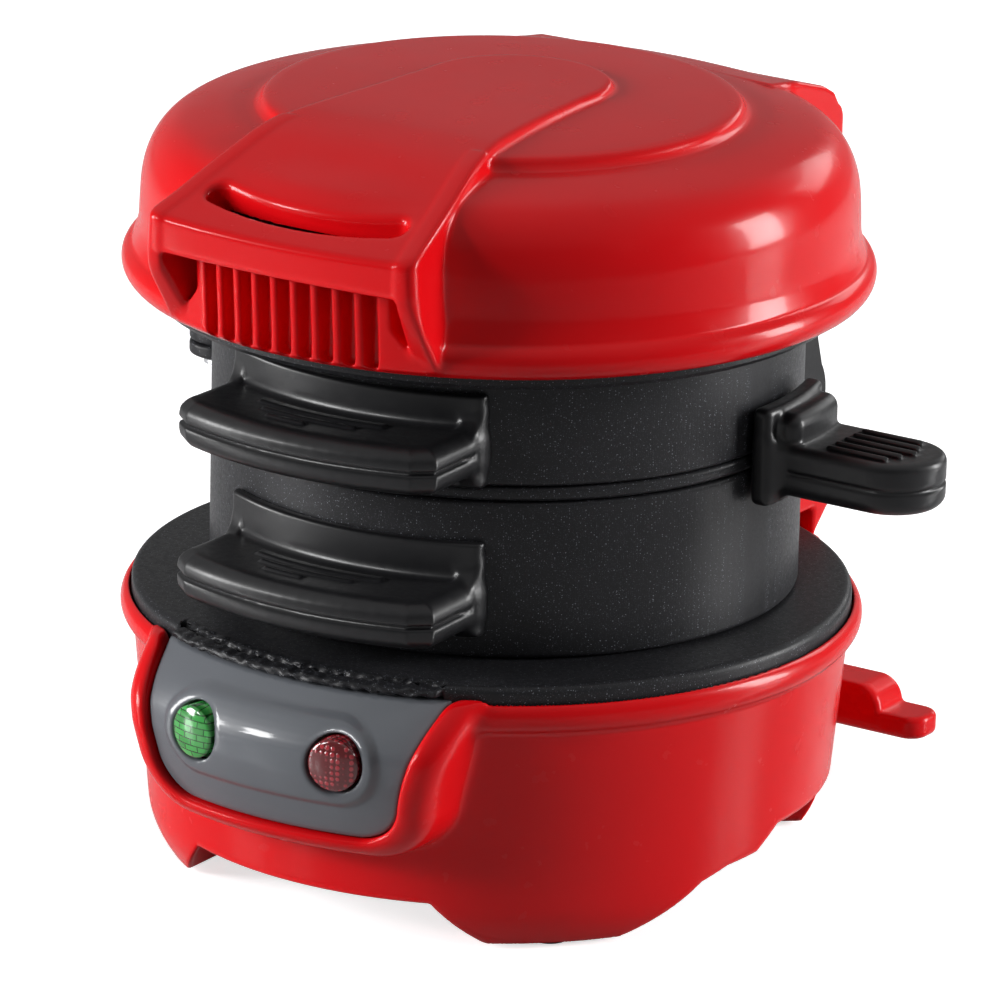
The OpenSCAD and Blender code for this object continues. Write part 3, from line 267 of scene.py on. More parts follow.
def carve(name, field, low, high, step):
    """Mesh of the surface where a field is zero, its points moved onto it, with smooth normals"""
    step = step * FINENESS
    low = np.array(low, float)
    counts = [math.ceil((h - l) / step) + 1 for l, h in zip(low, high)]
    volume = openvdb.FloatGrid(background=BAND_STEPS * step)
    volume.copyFromArray(sample(field, low, step, counts))
    co, triangles, quads = volume.convertToPolygons(isovalue=0.0, adaptivity=0.0)
    mesh = bpy.data.meshes.new(name)
    mesh.from_pydata(((low + co * step) * MM).tolist(), [], triangles.tolist() + quads.tolist())
    shaper = bmesh.new()
    shaper.from_mesh(mesh)
    bmesh.ops.remove_doubles(shaper, verts=shaper.verts, dist=MERGE_STEPS * step * MM)
    shaper.to_mesh(mesh)
    shaper.free()
    co = settle(mesh, field, step)
    normals = gradient(field, co, NORMAL_PROBE)
    normals /= np.maximum(np.sqrt((normals ** 2).sum(1)), 1e-6)[:, None]
    mesh.shade_smooth()
    mesh.normals_split_custom_set_from_vertices(normals.tolist())
    piece = bpy.data.objects.new(name, mesh)
    bpy.context.scene.collection.objects.link(piece)
    return piece


# LID: dome, grip with its slot, grille, cheeks and the housing over the hinge

LID_Z = 112.2
LID_WALL = 2.2
LID_TOP = 148.0
FLANGE_R = 69.1
# Bead over the flange: radius of its middle, its height over LID_Z, and its own radius
LID_BEAD_R = 67.3
LID_BEAD_RISE = 2.9
LID_BEAD_T = 3.6
# Radius and height up the dome's wall, over the round step and across the crown
LID_WALL_LINE = [(68.3, 120.2), (67.75, 122.6), (67.55, 127), (67.2, 131.5), (66.3, 135),
                 (64.9, 137.8), (63, 140), (60.4, 141.7), (57, 142.8), (52, 143.8), (47.6, 144.35)]
LID_STEP_LINE = [(46.2, 144.6), (45.3, 145.3), (44.7, 146.3), (43.9, 146.75), (42.4, 147.0)]
CROWN_SHOULDER_Z = 147.85
LID_CROWN_LINE = [(36, 147.3), (28, 147.55), (15, CROWN_SHOULDER_Z), (0, LID_TOP)]
# How far the hollow's outline runs on below the lid
HOLLOW_BELOW = 8

GRIP_TOP = 135.1
GRIP_LIP = 6.6
GRIP_HALF = 29.4
GRIP_UNDER = GRIP_TOP - GRIP_LIP
# The grip's front edge: its reach in the middle, how far it bows back and its corners' radius
GRIP_FRONT = 75.4
GRIP_BOW = 1.7
GRIP_CORNER = 3.0


def lid_profile(floor_z):
    """Radius and height along the lid's outside, closed below at floor_z"""
    skirt = [(PAST_AXIS, floor_z), (FLANGE_R, floor_z)]
    if floor_z < LID_Z:
        skirt.append((FLANGE_R, LID_Z))
    bead = arc(LID_BEAD_R, LID_Z + LID_BEAD_RISE, LID_BEAD_T, -50, 62, 14)
    rise = [point for line in (LID_WALL_LINE, LID_STEP_LINE, LID_CROWN_LINE)
            for point in smooth_path(line, 5)]
    return skirt + bead + rise + [(PAST_AXIS, CROWN_SHOULDER_Z)]


lid_outside = Table(lid_profile(LID_Z))
lid_inside = Table(lid_profile(LID_Z - HOLLOW_BELOW))

# The bridge ends in a half circle
BRIDGE_END_Y = 4
BRIDGE_END_R = 18.2
# Half the width of the bridge along its length, the height of its top, and that of its underside
BRIDGE_Y = [-80, -75, -68, -58, -45, -32, -18, -5, BRIDGE_END_Y, 30]
BRIDGE_HALF = [GRIP_HALF, GRIP_HALF, 27.9, 26.2, 23.6, 21.2, 19.6, 18.6,
               BRIDGE_END_R, BRIDGE_END_R]
TOP_Y = [-80, -75, -68, -60, -52, -45, -38, -30, -15, 0, 30]
TOP_Z = [133.4, GRIP_TOP, 137.8, 141.1, 144.4, 147, 148.4, 148.9, 149.1, 149.15, 149.15]
UNDER_Y = [-80, -62, -40, 30]
UNDER_Z = [GRIP_UNDER, GRIP_UNDER, 139.5, 142]


def bridge_half(g):
    """Half the width of the bridge at each point's y"""
    y = smooth_path(list(zip(BRIDGE_Y, BRIDGE_HALF)), 6)
    return np.interp(g.y, *zip(*y)).astype(np.float32)


def bridge_top(g):
    """Height above the top of the bridge"""
    z = smooth_path(list(zip(TOP_Y, TOP_Z)), 6)
    return g.z - np.interp(g.y, *zip(*z)).astype(np.float32)


def bridge_plan(g, spread=0.0):
    """The bridge and the grip seen from above, wider by spread on each side"""
    end = radius(g, 0, BRIDGE_END_Y) - BRIDGE_END_R
    side = np.where(g.y > BRIDGE_END_Y, end, np.abs(g.x) - bridge_half(g)) - spread
    front = -(g.y + GRIP_FRONT - (g.x / GRIP_HALF) ** 2 * GRIP_BOW)
    return smax(side, front, GRIP_CORNER)


def bridge_field(g):
    """Raised strap from the grip to a round end behind the middle of the lid"""
    plan = bridge_plan(g)
    under = np.interp(g.y, UNDER_Y, UNDER_Z) - g.z
    return smax(smax(plan, bridge_top(g), 1.3), under.astype(np.float32), 1.2)


# Cheeks: how they flare outwards going down, their thickness, and their front edge, which slants
# back by SLANT for each millimetre down; SLANT_SCALE makes its distances about true
DRAFT = 0.1
CHEEK_T = 3.4
CHEEK_FRONT = 75.3
CHEEK_BACK = 40
SLANT = 0.68
SLANT_SCALE = 0.82


def cheek_field(g):
    """Flared fin under each side of the bridge, its front edge slanting back to the flange"""
    outside = bridge_plan(g, -bridge_top(g) * DRAFT)
    side = smax(outside, bridge_half(g) - CHEEK_T - np.abs(g.x), 0.6)
    front = -(g.y + CHEEK_FRONT - np.maximum(GRIP_UNDER - g.z, 0) * SLANT) * SLANT_SCALE
    fin = smax(side, front, 1.6)
    fin = smax(fin, bridge_top(g), 1.3)
    return smax(fin, smax(LID_Z + 1.0 - g.z, g.y + CHEEK_BACK, 1.0), 1.0)


# Grille: radius of its front at the foot, how that leans out going up, its back and half its width
GRILLE_R = 71
GRILLE_LEAN = 0.08
GRILLE_BACK_R = 62
GRILLE_HALF = 27.5
# How far the grille runs up into the grip
GRILLE_INTO_GRIP = 2


def grille_field(g):
    """Wall of upright ribs between the grip and the flange"""
    r = radius(g)
    front = GRILLE_R + (g.z - LID_Z) * GRILLE_LEAN
    wall = smax(np.maximum(r - front, GRILLE_BACK_R - r), np.abs(g.x) - GRILLE_HALF, 0.8)
    wall = smax(wall, g.z - GRIP_TOP + GRIP_LIP - GRILLE_INTO_GRIP, 0.6)
    return smax(wall, smax(LID_Z + 1 - g.z, g.y, 1.0), 1.0)


RIB_PITCH = 4.35
RIB_SLOTS = 9
SLOT_HALF = 1.3
# Height over LID_Z of the middle of a slot's round foot, and the radius that it is cut in to
SLOT_FOOT = 2.2
SLOT_BACK_R = 68.1
# Recess beyond the last rib: where it begins and ends, and how its floor rises inwards
RECESS_START = 21.4
RECESS_END = 26.4
RECESS_FOOT = 3
RECESS_LEAN = 1.2


def slots_field(g):
    """Slots between the ribs, each with a round foot"""
    number = np.clip(np.round(g.x / RIB_PITCH), -(RIB_SLOTS - 1) / 2, (RIB_SLOTS - 1) / 2)
    across = np.abs(g.x - number * RIB_PITCH)
    foot_z = LID_Z + SLOT_FOOT
    low = np.sqrt(across ** 2 + np.minimum(g.z - foot_z, 0) ** 2)
    slot = np.where(g.z < foot_z, low, across) - SLOT_HALF
    # Beyond the last rib a wider recess runs to the cheek
    side = np.abs(g.x)
    beside = smax(slab(side, RECESS_START, RECESS_END),
                  LID_Z + RECESS_FOOT - g.z + (RECESS_END - side) * RECESS_LEAN, 0.8)
    beside = smax(beside, g.z - GRIP_TOP + GRIP_LIP + 0.6, 0.5)
    slot = np.minimum(slot, beside)
    return smax(slot, smax(SLOT_BACK_R - radius(g), g.y + 30, 0.8), 0.8)


# Slot in the grip: radius of its line, half its width, its end in degrees and its depth
GRIP_SLOT_R = 67.2
GRIP_SLOT_HALF = 2.5
GRIP_SLOT_TURN = 16.4
GRIP_SLOT_DEPTH = 5.5


def grip_slot_field(g):
    """Curved slot along the top of the grip, with round ends"""
    turn = np.arctan2(g.x, -g.y)
    end = math.radians(GRIP_SLOT_TURN)
    r = radius(g)
    past = np.maximum(np.abs(turn) - end, 0) * r
    slot = np.sqrt((r - GRIP_SLOT_R) ** 2 + past ** 2) - GRIP_SLOT_HALF
    return smax(slot, GRIP_TOP - GRIP_SLOT_DEPTH - g.z, 1.0)


# Housing over the hinge: its outline from the side, in y and z, and half its width
HOUSING_HALF = 30
HOUSING = [(48, 112.2), (75.2, 112.2), (75.2, 129)] + arc(71.6, 131.4, 3.6, 0, 62, 6) \
    + [(71.6, 137), (68, 138.9), (58, 141.9), (48, 143.4)]
housing_side = Table(HOUSING)


def housing_field(g, inset=0.0):
    """Block over the hinge, smaller by inset on every side"""
    side = housing_side(g.y, g.z) + inset
    return smax(side, np.abs(g.x) - HOUSING_HALF + inset, 1.4)


# The hollow stays inside this radius behind the grille, this far to each side
HOLLOW_FRONT_R = 66.0
HOLLOW_FRONT_HALF = 28
# Gap in the rear skirt that the hinge arms pass through: half its width and its ends in y
ARMS_GAP_HALF = 27.8
ARMS_GAP_Y = 50, 73


def lid_field(g):
    """The whole lid: dome, housing, grille, bridge with the grip and cheeks, all hollowed"""
    r = radius(g)
    dome = lid_outside(r, g.z + 0 * g.x)
    shape = smin(dome, housing_field(g), 1.0)
    shape = smin(shape, grille_field(g), 1.0)
    shape = smax(shape, -slots_field(g), 0.8)
    shape = smin(shape, bridge_field(g), 0.9)
    shape = smin(shape, cheek_field(g), 1.0)
    hollow = lid_inside(r, g.z + 0 * g.x) + LID_WALL
    front = (np.abs(g.x) < HOLLOW_FRONT_HALF) & (g.y < 0)
    hollow = np.where(front, np.maximum(hollow, r - HOLLOW_FRONT_R), hollow)
    hollow = smin(hollow, smax(housing_field(g, LID_WALL), LID_Z - HOLLOW_BELOW - g.z, 1), 0.6)
    below = block(g, (-ARMS_GAP_HALF, ARMS_GAP_Y[0], LID_Z - 6),
                  (ARMS_GAP_HALF, ARMS_GAP_Y[1], LID_Z + 4), 0.5)
    shape = smax(smax(shape, -hollow, 0.5), -below, 0.5)
    return smax(shape, -grip_slot_field(g), 1.4)


def make_lid():
    piece = carve("lid_shell_skin", lid_field, (-72.5, -77.5, 110.5), (72.5, 77, 151.5), 0.5)
    return finish_piece(piece, "lid", "red_shell", "lid_shell")


# BASE: wall with feet and bead, bezel round the lamp panel, hinge tower


BASE_H = 51.0
SOLE_Z = 0.8
# Wall: radius under the bead, draft, the height and depth of the tuck at its foot, and thickness
WALL_R = 68
WALL_DRAFT = 0.09
TUCK_H = 9.0
TUCK_IN = 3.2
BASE_WALL = 2.6
# Bead: the wall's height under it, radius and height of its middle, and its own radius
BEAD_Z0 = 44.2
BEAD_R = 67.1
BEAD_Z = 47.6
BEAD_T = 3.4
# Seat of the lower plate: its wall, the rim over it, the ledge, its inner edge and its underside
PLATE_SEAT_R = 68.5
RIM_Z = 50.7
LEDGE_Z = 48.3
LEDGE_R = 58.5
LEDGE_UNDER = 45.3
# Hollow inside, from the floor over the bottom cover up to the ledge's slope
HOLLOW_FLOOR = 20.2
HOLLOW_TOP = 42
COVER_TOP = 17.2
COVER_SEAT_R = 44
FOOT_INNER_R = 52
# Height to which the seat is cut out
SEAT_TOP = 53.7


def wall_r(z):
    """Radius of the base wall at a height"""
    return WALL_R - WALL_DRAFT * (BEAD_Z0 - z) - TUCK_IN * max(0, 1 - z / TUCK_H) ** 2


HOLLOW_LOW_R = wall_r(20) - BASE_WALL
HOLLOW_HIGH_R = wall_r(HOLLOW_TOP) - BASE_WALL


def base_profile():
    """Radius and height round the wall of the base, from the sole up outside and down inside"""
    foot = [(wall_r(z), z) for z in np.linspace(SOLE_Z, TUCK_H, 7)]
    neck = [(wall_r(BEAD_Z0 - 0.6), BEAD_Z0 - 0.6)]
    bead = arc(BEAD_R, BEAD_Z, BEAD_T, -62, 58, 14)
    rim = [(PLATE_SEAT_R, RIM_Z), (PLATE_SEAT_R, LEDGE_Z),
           (LEDGE_R, LEDGE_Z), (LEDGE_R, LEDGE_UNDER)]
    inside = [(HOLLOW_HIGH_R, HOLLOW_TOP), (HOLLOW_LOW_R, HOLLOW_FLOOR),
              (COVER_SEAT_R, HOLLOW_FLOOR), (COVER_SEAT_R, COVER_TOP)]
    sole = [(FOOT_INNER_R, COVER_TOP), (FOOT_INNER_R, SOLE_Z)]
    return foot + neck + bead + rim + inside + sole


def hollow_profile():
    """Radius and height round the hollow that holds the base's works"""
    return [(PAST_AXIS, HOLLOW_FLOOR), (HOLLOW_LOW_R, HOLLOW_FLOOR), (HOLLOW_HIGH_R, HOLLOW_TOP),
            (PAST_AXIS, HOLLOW_TOP)]


# Bezel: its greatest radius, and its face down the front as offsets from that radius with heights
BEZEL_R = 79.2
BEZEL_BACK_R = 50
BULGE = [(-6.4, 16), (-6.2, 17), (-4.6, 21), (-1.6, 29), (-0.2, 35), (0, 38), (-0.6, 42),
         (-3.4, 46.5), (-7.8, 51), (-10, 53)]


def bulge_profile():
    """Radius and height of the bezel's face, closed behind it"""
    side = smooth_path([(BEZEL_R + d, z) for d, z in BULGE], 4)
    return [(BEZEL_BACK_R, BULGE[0][1])] + side + [(BEZEL_BACK_R, BULGE[-1][1])]


# The outlines of the bezel and of its opening run on above the base to here
BEZEL_ABOVE = 56


def bezel_outline(half_top, half_middle, middle, corner, r):
    """Upright outline seen from the front: sides leaning in, with round lower corners"""
    x, z = corner
    left = arc(-x, z, r, 185, 270, 10)
    right = arc(x, z, r, -90, -5, 10)
    top = [(half_top, BEZEL_ABOVE), (-half_top, BEZEL_ABOVE), (-half_top, BASE_H)]
    up = [(half_middle, middle), (half_top, BASE_H)]
    return top + [(-half_middle, middle)] + left + right + up


# Gaps between the feet are cut from below the sole. Front and rear: how far their sides lean in
# and their height
BELOW_SOLE = -8
GAP_LEAN = 7
GAP_TOP = 9.2
# Sides: turn of the front foot's rear end in degrees, the arch in steps back from there with its
# heights, and the far end
SIDE_GAP_TURN = 58
SIDE_GAP_ARCH = [(12, 9.8), (18, 11.7), (26, 12.4), (32, 16.4)]
SIDE_GAP_END = 95


def front_gap_outline(half):
    """Gap under the front or the rear, its feet half degrees to each side"""
    foot = wall_r(SOLE_Z) * math.sin(math.radians(half))
    return [(-foot, BELOW_SOLE), (-foot, SOLE_Z), (-foot + GAP_LEAN, GAP_TOP),
            (foot - GAP_LEAN, GAP_TOP), (foot, SOLE_Z), (foot, BELOW_SOLE)]


def side_gap_outline():
    """Gap under each side in y and z, stepping up towards the rear foot"""
    end = -wall_r(SOLE_Z) * math.cos(math.radians(SIDE_GAP_TURN))
    arch = [(end + back, z) for back, z in SIDE_GAP_ARCH]
    return [(end, BELOW_SOLE), (end, SOLE_Z)] + arch + [(SIDE_GAP_END, SIDE_GAP_ARCH[-1][1]),
                                                        (SIDE_GAP_END, BELOW_SOLE)]


REAR_FOOT = math.radians(131)
base_section = Table(base_profile())
base_hollow = Table(hollow_profile())
bulge_section = Table(bulge_profile())
bezel_outer = Table(bezel_outline(36.9, 34.9, 41, (20.5, 32.4), 12.2), margin=12)
bezel_inner = Table(bezel_outline(31.6, 29.2, 41, (18.0, 33.2), 9.2), margin=12)
front_gap = Table(front_gap_outline(32.5))
rear_gap = Table(front_gap_outline(23.5))
side_gap = Table(side_gap_outline())
# Hinge tower at the rear: its outline from the side, in y and z, and half its width
TOWER_HALF = 30
TOWER = [(62, SEAT_TOP), (62, 60), (75.3, 60), (75.3, 54), (70, 49), (66.5, 42.3), (63.5, 42.3),
         (63.5, LEDGE_Z), (PLATE_SEAT_R, LEDGE_Z), (PLATE_SEAT_R, SEAT_TOP)]
tower_side = Table(TOWER)


def bezel_field(g):
    """Bulging frame round the lamp panel, level with the top of the base"""
    front = smax(bulge_section(radius(g), g.z + 0 * g.x), bezel_outer(g.x, g.z + 0 * g.y), 3.6)
    return smax(front, g.z - BASE_H + 0 * g.x, 1.0)


def opening_field(g):
    """Opening in the bezel that the panel fills"""
    inner = bezel_inner(g.x, g.z + 0 * g.y)
    return smax(smax(inner, 64 - radius(g), 0.5), g.y + 20, 0.5)


def base_field(g):
    """The whole base: wall, bezel and tower, the plate's seat and the gaps between the feet"""
    r = radius(g)
    z = g.z + 0 * g.x
    shape = smin(base_section(r, z), bezel_field(g), 1.6)
    tower = rod(tower_side(g.y, z), g.x, -TOWER_HALF, TOWER_HALF, 1.2)
    shape = smin(shape, tower, 0.8)
    shape = smax(shape, -base_hollow(r, z), 0.4)
    shape = smax(shape, -opening_field(g), 2.2)
    seat = smax(r - PLATE_SEAT_R, LEDGE_Z - z, 0.3)
    shape = smax(shape, -smax(seat, z - SEAT_TOP, 0.3), 1.3)
    front_cut = smax(front_gap(g.x, z), g.y, 1)
    rear_cut = smax(rear_gap(g.x, z), -g.y, 1)
    side = np.abs(g.x)
    # The side gap lies between a front and a rear foot, whose faces stand at these turns
    turn_low = -(side * math.cos(math.pi / 4) + g.y * math.sin(math.pi / 4))
    turn_high = side * math.cos(REAR_FOOT) + g.y * math.sin(REAR_FOOT)
    side_cut = smax(smax(side_gap(g.y, z), turn_low, 1), turn_high, 0.6)
    cuts = np.minimum(np.minimum(front_cut, rear_cut), side_cut)
    return smax(shape, -cuts, 0.9)


def make_base():
    piece = carve("base_shell_skin", base_field, (-74, -81.5, -0.6), (74, 78, 62), 0.5)
    return finish_piece(piece, "base", "red_shell", "base_shell")


# Panel: how deep its face lies in the bezel, its play there, thickness, top and least radius
PANEL_SINK = 1.2
PANEL_PLAY = 0.15
PANEL_T = 2.2
PANEL_TOP = 50.6
PANEL_BACK_R = 66
# Relief round the lamps: radius its line runs on, half its height, the width of its edge, how far
# it rises from the ground, and how far the ground is sunk for it
PILL_R = 78
PILL_HALF = 8.0
PILL_EDGE = 1.8
PILL_RISE = 0.8
PILL_SUNK = 0.55
# Lenses: height, turn to each side in degrees, radius, and the radius of the panel's hole
LENS_Z = 39.0
LENS_ANGLE = 11.6
LENS_R = 5.0
LENS_HOLE = 5.5


def panel_field(g):
    """Grey panel with a pill-shaped relief round its two lamps"""
    r = radius(g)
    face = bulge_section(r, g.z + 0 * g.x) + PANEL_SINK + PANEL_PLAY
    turn = np.arctan2(g.x, -g.y)
    lens_turn = math.radians(LENS_ANGLE)
    past = np.maximum(np.abs(turn) - lens_turn, 0) * PILL_R
    pill = np.sqrt(past ** 2 + (g.z - LENS_Z) ** 2) - PILL_HALF
    ramp = np.clip(0.5 - pill / PILL_EDGE, 0, 1)
    face = face - PILL_RISE * ramp * ramp * (3 - 2 * ramp) + PILL_SUNK
    shape = smax(face, bezel_inner(g.x, g.z + 0 * g.y) + PANEL_PLAY, 0.8)
    shape = smax(shape, -(bulge_section(r, g.z + 0 * g.x) + PANEL_SINK + PANEL_T), 0.3)
    shape = smax(shape, smax(g.z - PANEL_TOP, PANEL_BACK_R - r, 0.3), 0.5)
    for side in (-1, 1):
        cx, cy = math.sin(side * lens_turn), -math.cos(side * lens_turn)
        across = np.sqrt((g.x * cy - g.y * cx) ** 2 + (g.z - LENS_Z) ** 2)
        shape = smax(shape, -smax(across - LENS_HOLE, -(g.x * cx + g.y * cy), 0.1), 0.9)
    return shape


def make_panel():
    piece = carve("lamp_panel", panel_field, (-36, -79.5, 18.5), (36, -54, 51.5), 0.35)
    return finish_piece(piece, "base", "grey_panel", "control_panel")


# HEATING PLATES, RINGS AND COOKING PLATE

# The rings stand on an axis behind the origin
STACK_Y = 4.0
RING_R = 56.0
RING_WALL = 3.0
HINGE_Y, HINGE_Z = 66.0, 76.0
LUG_R = 4.7
BORE_R = 2.56
# Lowest and highest level of each ring's wall
RING_LOW = cad("lower_ring")[0][2], 83.6
RING_HIGH = 86.8, cad("upper_ring")[1][2]
# Hinge lugs: how near and how far from the middle they stand
LOWER_LUG_X = 11.5, 16.7
UPPER_LUG_X = 6, 11.2
# Pivot of the cooking plate on the left, and the round ears on it
PIVOT_X = 65.0
PIVOT_BORE_R = 2.5
EAR_R = 7
EAR_T = 5

PLATE_TOP = cad("lower_heating_plate")[1][2]
# Lower plate: its radius, and the radius that its edge's rounding of PLATE_EDGE turns about
PLATE_R = 68.4
PLATE_EDGE_R = 66.9
PLATE_EDGE = 1.5
# Lip over the lamp panel: radius and height round it, and half its width
LIP = [(67.5, 51.3), (70.1, 51.3), (70.1, 52.1), (69.7, 52.6), (67.5, 52.9)]
LIP_HALF = 29.5


def lower_plate_profile():
    """Radius and height round the lower plate"""
    edge = arc(PLATE_EDGE_R, PLATE_TOP - PLATE_EDGE, PLATE_EDGE, 10, 80, 6)
    side = [(PLATE_R, LEDGE_Z), (PLATE_R, PLATE_TOP - 2.2)]
    return [(PAST_AXIS, LEDGE_Z)] + side + edge + [(PAST_AXIS, PLATE_TOP)]


plate_section = Table(lower_plate_profile())
lip_section = Table(LIP)

# Waves of the rough cast edge: how many, how high, and for each its radians per radian round the
# plate, its radians per millimetre up the edge, and its phase
CAST_COUNT = 9
CAST_HEIGHT = 0.10
cast = np.random.default_rng(5)
CAST_WAVES = [(cast.uniform(25, 170), cast.uniform(-5, 5), cast.uniform(0, 6.3))
              for _ in range(CAST_COUNT)]
# Slope of that edge: the radius where it meets the plate's top, and how far it faces outwards
# and upwards
CAST_R = 65.7
CAST_OUT = 0.86
CAST_UP = 0.5


def lower_plate_field(g):
    """Round plate with a lip over the lamp panel and a straight cut before the hinge tower"""
    r = radius(g)
    z = g.z + 0 * g.x
    shape = plate_section(r, z)
    turn = np.arctan2(g.x, -g.y)
    # The edge over the lamp panel is left as it was cast: sloped and uneven
    rough = sum(CAST_HEIGHT * np.sin(a * turn + b * z + c) for a, b, c in CAST_WAVES)
    slope = ((r - CAST_R) * CAST_OUT + (z - PLATE_TOP) * CAST_UP + rough) * 0.8
    reach = np.minimum(LIP_HALF - np.abs(g.x), -g.y)
    shape = smax(shape, np.where(reach > 0, slope, reach - 9), 0.3)
    lip = smax(lip_section(r, z) + 0.5 * rough, np.abs(g.x) - LIP_HALF, 0.5)
    lip = smax(lip, g.y + 30, 1)
    shape = smin(shape, lip, 0.5)
    rear = block(g, (-30.4, 61.7, 40), (30.4, 90, 60), 0.3)
    return smax(shape, -rear, 0.4)


def hinge_rod(g, x0, x1, r):
    """Round lug on the hinge's axis, on each side of the middle"""
    round_part = np.sqrt((g.y - HINGE_Y) ** 2 + (g.z - HINGE_Z) ** 2) - r
    return rod(round_part + 0 * g.x, np.abs(g.x), x0, x1, 0.6)


def hinge_bore(g):
    """Bore for the hinge pin"""
    return np.sqrt((g.y - HINGE_Y) ** 2 + (g.z - HINGE_Z) ** 2) - BORE_R + 0 * g.x


def ring_tube(g, z0, z1):
    """Wall of a cooking ring between two levels"""
    return rod(slab(radius(g, 0, STACK_Y), RING_R - RING_WALL, RING_R), g.z, z0, z1, 0.6)


def mirror_block(g, low, high, r=0.5):
    """A block and its mirror image across the middle"""
    folded = Points(np.zeros((1, 3)))
    folded.x, folded.y, folded.z = np.abs(g.x), g.y, g.z
    return block(folded, low, high, r)


def lower_ring_field(g):
    """Lower ring with its two hinge lugs"""
    shape = ring_tube(g, *RING_LOW)
    near, far = LOWER_LUG_X
    arm = mirror_block(g, (near, 56.5, 72), (far, HINGE_Y, 80))
    lug = smin(hinge_rod(g, near, far, LUG_R), arm, 0.8)
    shape = smin(shape, smax(lug, RING_R - 1.5 - radius(g, 0, STACK_Y), 0.3), 1.2)
    return smax(shape, -hinge_bore(g), 0.4)


def upper_ring_field(g):
    """Upper ring with its two hinge lugs and the ear that the cooking plate turns on"""
    shape = ring_tube(g, *RING_HIGH)
    near, far = UPPER_LUG_X
    arm_top = 97.8
    web = mirror_block(g, (near, HINGE_Y - LUG_R, HINGE_Z), (far, HINGE_Y + LUG_R - 2, arm_top))
    arm = mirror_block(g, (near, 57.5, 88.3), (far, HINGE_Y, arm_top))
    lug = smin(smin(hinge_rod(g, near, far, LUG_R), web, 0.8), arm, 0.8)
    shape = smin(shape, smax(lug, RING_R - 1.5 - radius(g, 0, STACK_Y), 0.3), 1.2)
    z0 = RING_HIGH[0]
    boss = rod(radius(g, -PIVOT_X, STACK_Y) - EAR_R, g.z, z0, z0 + EAR_T, 0.6)
    neck = block(g, (-PIVOT_X, STACK_Y - EAR_R, z0), (-54.5, STACK_Y + EAR_R, z0 + EAR_T), 0.6)
    shape = smin(shape, smin(boss, neck, 0.4), 0.8)
    pin = radius(g, -PIVOT_X, STACK_Y) - PIVOT_BORE_R + 0 * g.z
    return smax(smax(shape, -hinge_bore(g), 0.4), -pin, 0.3)


PLATE_LOW, PLATE_HIGH = cad("cooking_plate")


def cooking_plate_field(g):
    """Round plate with its pivot's ear on the left and the handle's tang on the right"""
    z0, z1 = PLATE_LOW[2], PLATE_HIGH[2]
    shape = rod(radius(g, 0, STACK_Y) - RING_R, g.z, z0, z1, 0.8)
    ear = rod(radius(g, -PIVOT_X, STACK_Y) - EAR_R, g.z, z0, z1, 0.6)
    neck = block(g, (-PIVOT_X, STACK_Y - EAR_R, z0), (-50, STACK_Y + EAR_R, z1), 0.6)
    tang = block(g, (50, STACK_Y + 1, z0), (72, STACK_Y + 13, z1), 0.5)
    shape = smin(smin(shape, smin(ear, neck, 0.4), 1.5), tang, 1.0)
    return smax(shape, -(radius(g, -PIVOT_X, STACK_Y) - BORE_R + 0 * g.z), 0.3)


def skin(node, body, slot, field, step):
    """Carve the piece that stands for one CAD node, within its box"""
    low, high = cad(node)
    piece = carve(node + "_skin", field, low - 0.8, high + 0.8, step)
    return finish_piece(piece, body, slot, node)


def make_stack():
    coat = "black_coated_metal"
    return [skin("lower_ring", "lower_leaf", coat, lower_ring_field, 0.5),
            skin("upper_ring", "upper_leaf", coat, upper_ring_field, 0.5),
            skin("cooking_plate", "swing_plate", coat, cooking_plate_field, 0.4),
            skin("lower_heating_plate", "base", coat, lower_plate_field, 0.5)]


# HANDLES

# Ring handles: radius of the bowed front, the turn to its corners in degrees, how far back the
# cut corners end, half the width there, thickness, and half the width of the pad on the ring
HANDLE_FRONT = 71.0
HANDLE_TURN = 20.4
CORNER_BACK = 7.6
HANDLE_HALF = 28.5
HANDLE_T = 9.0
HANDLE_BACK_Y = -36
PAD_HALF = 27.6
PAD_T = 2.2
# Play between a handle and the ring it stands on
PAD_PLAY = 0.05
# Bevels of 45 degrees round a handle: their size on top and below, and the scale that makes a
# distance to them about true
BEVEL_TOP = 1.9
BEVEL_UNDER = 1.4
BEVEL_SCALE = 0.72
# Groove between the two halves: half its height and its depth
GROOVE_HALF = 0.35
GROOVE_DEPTH = 0.7
# Raised lines on a handle's top: radius, ends and half width; and their height
HANDLE_LINES = [(58.8, -14, 13, 1.0), (62.0, -11, 9, 0.4), (64.6, -8, 0, 0.4)]
LINE_RISE = 0.55


def handle_outline():
    """Plan of a ring handle: a bowed front with cut corners"""
    front = arc(0, 0, HANDLE_FRONT, 270 - HANDLE_TURN, 270 + HANDLE_TURN, 16)
    side = -HANDLE_FRONT + CORNER_BACK
    back = [(PAD_HALF, HANDLE_BACK_Y), (-PAD_HALF, HANDLE_BACK_Y), (-HANDLE_HALF, side)]
    return back + front + [(HANDLE_HALF, side)]


handle_plan = Table(handle_outline())


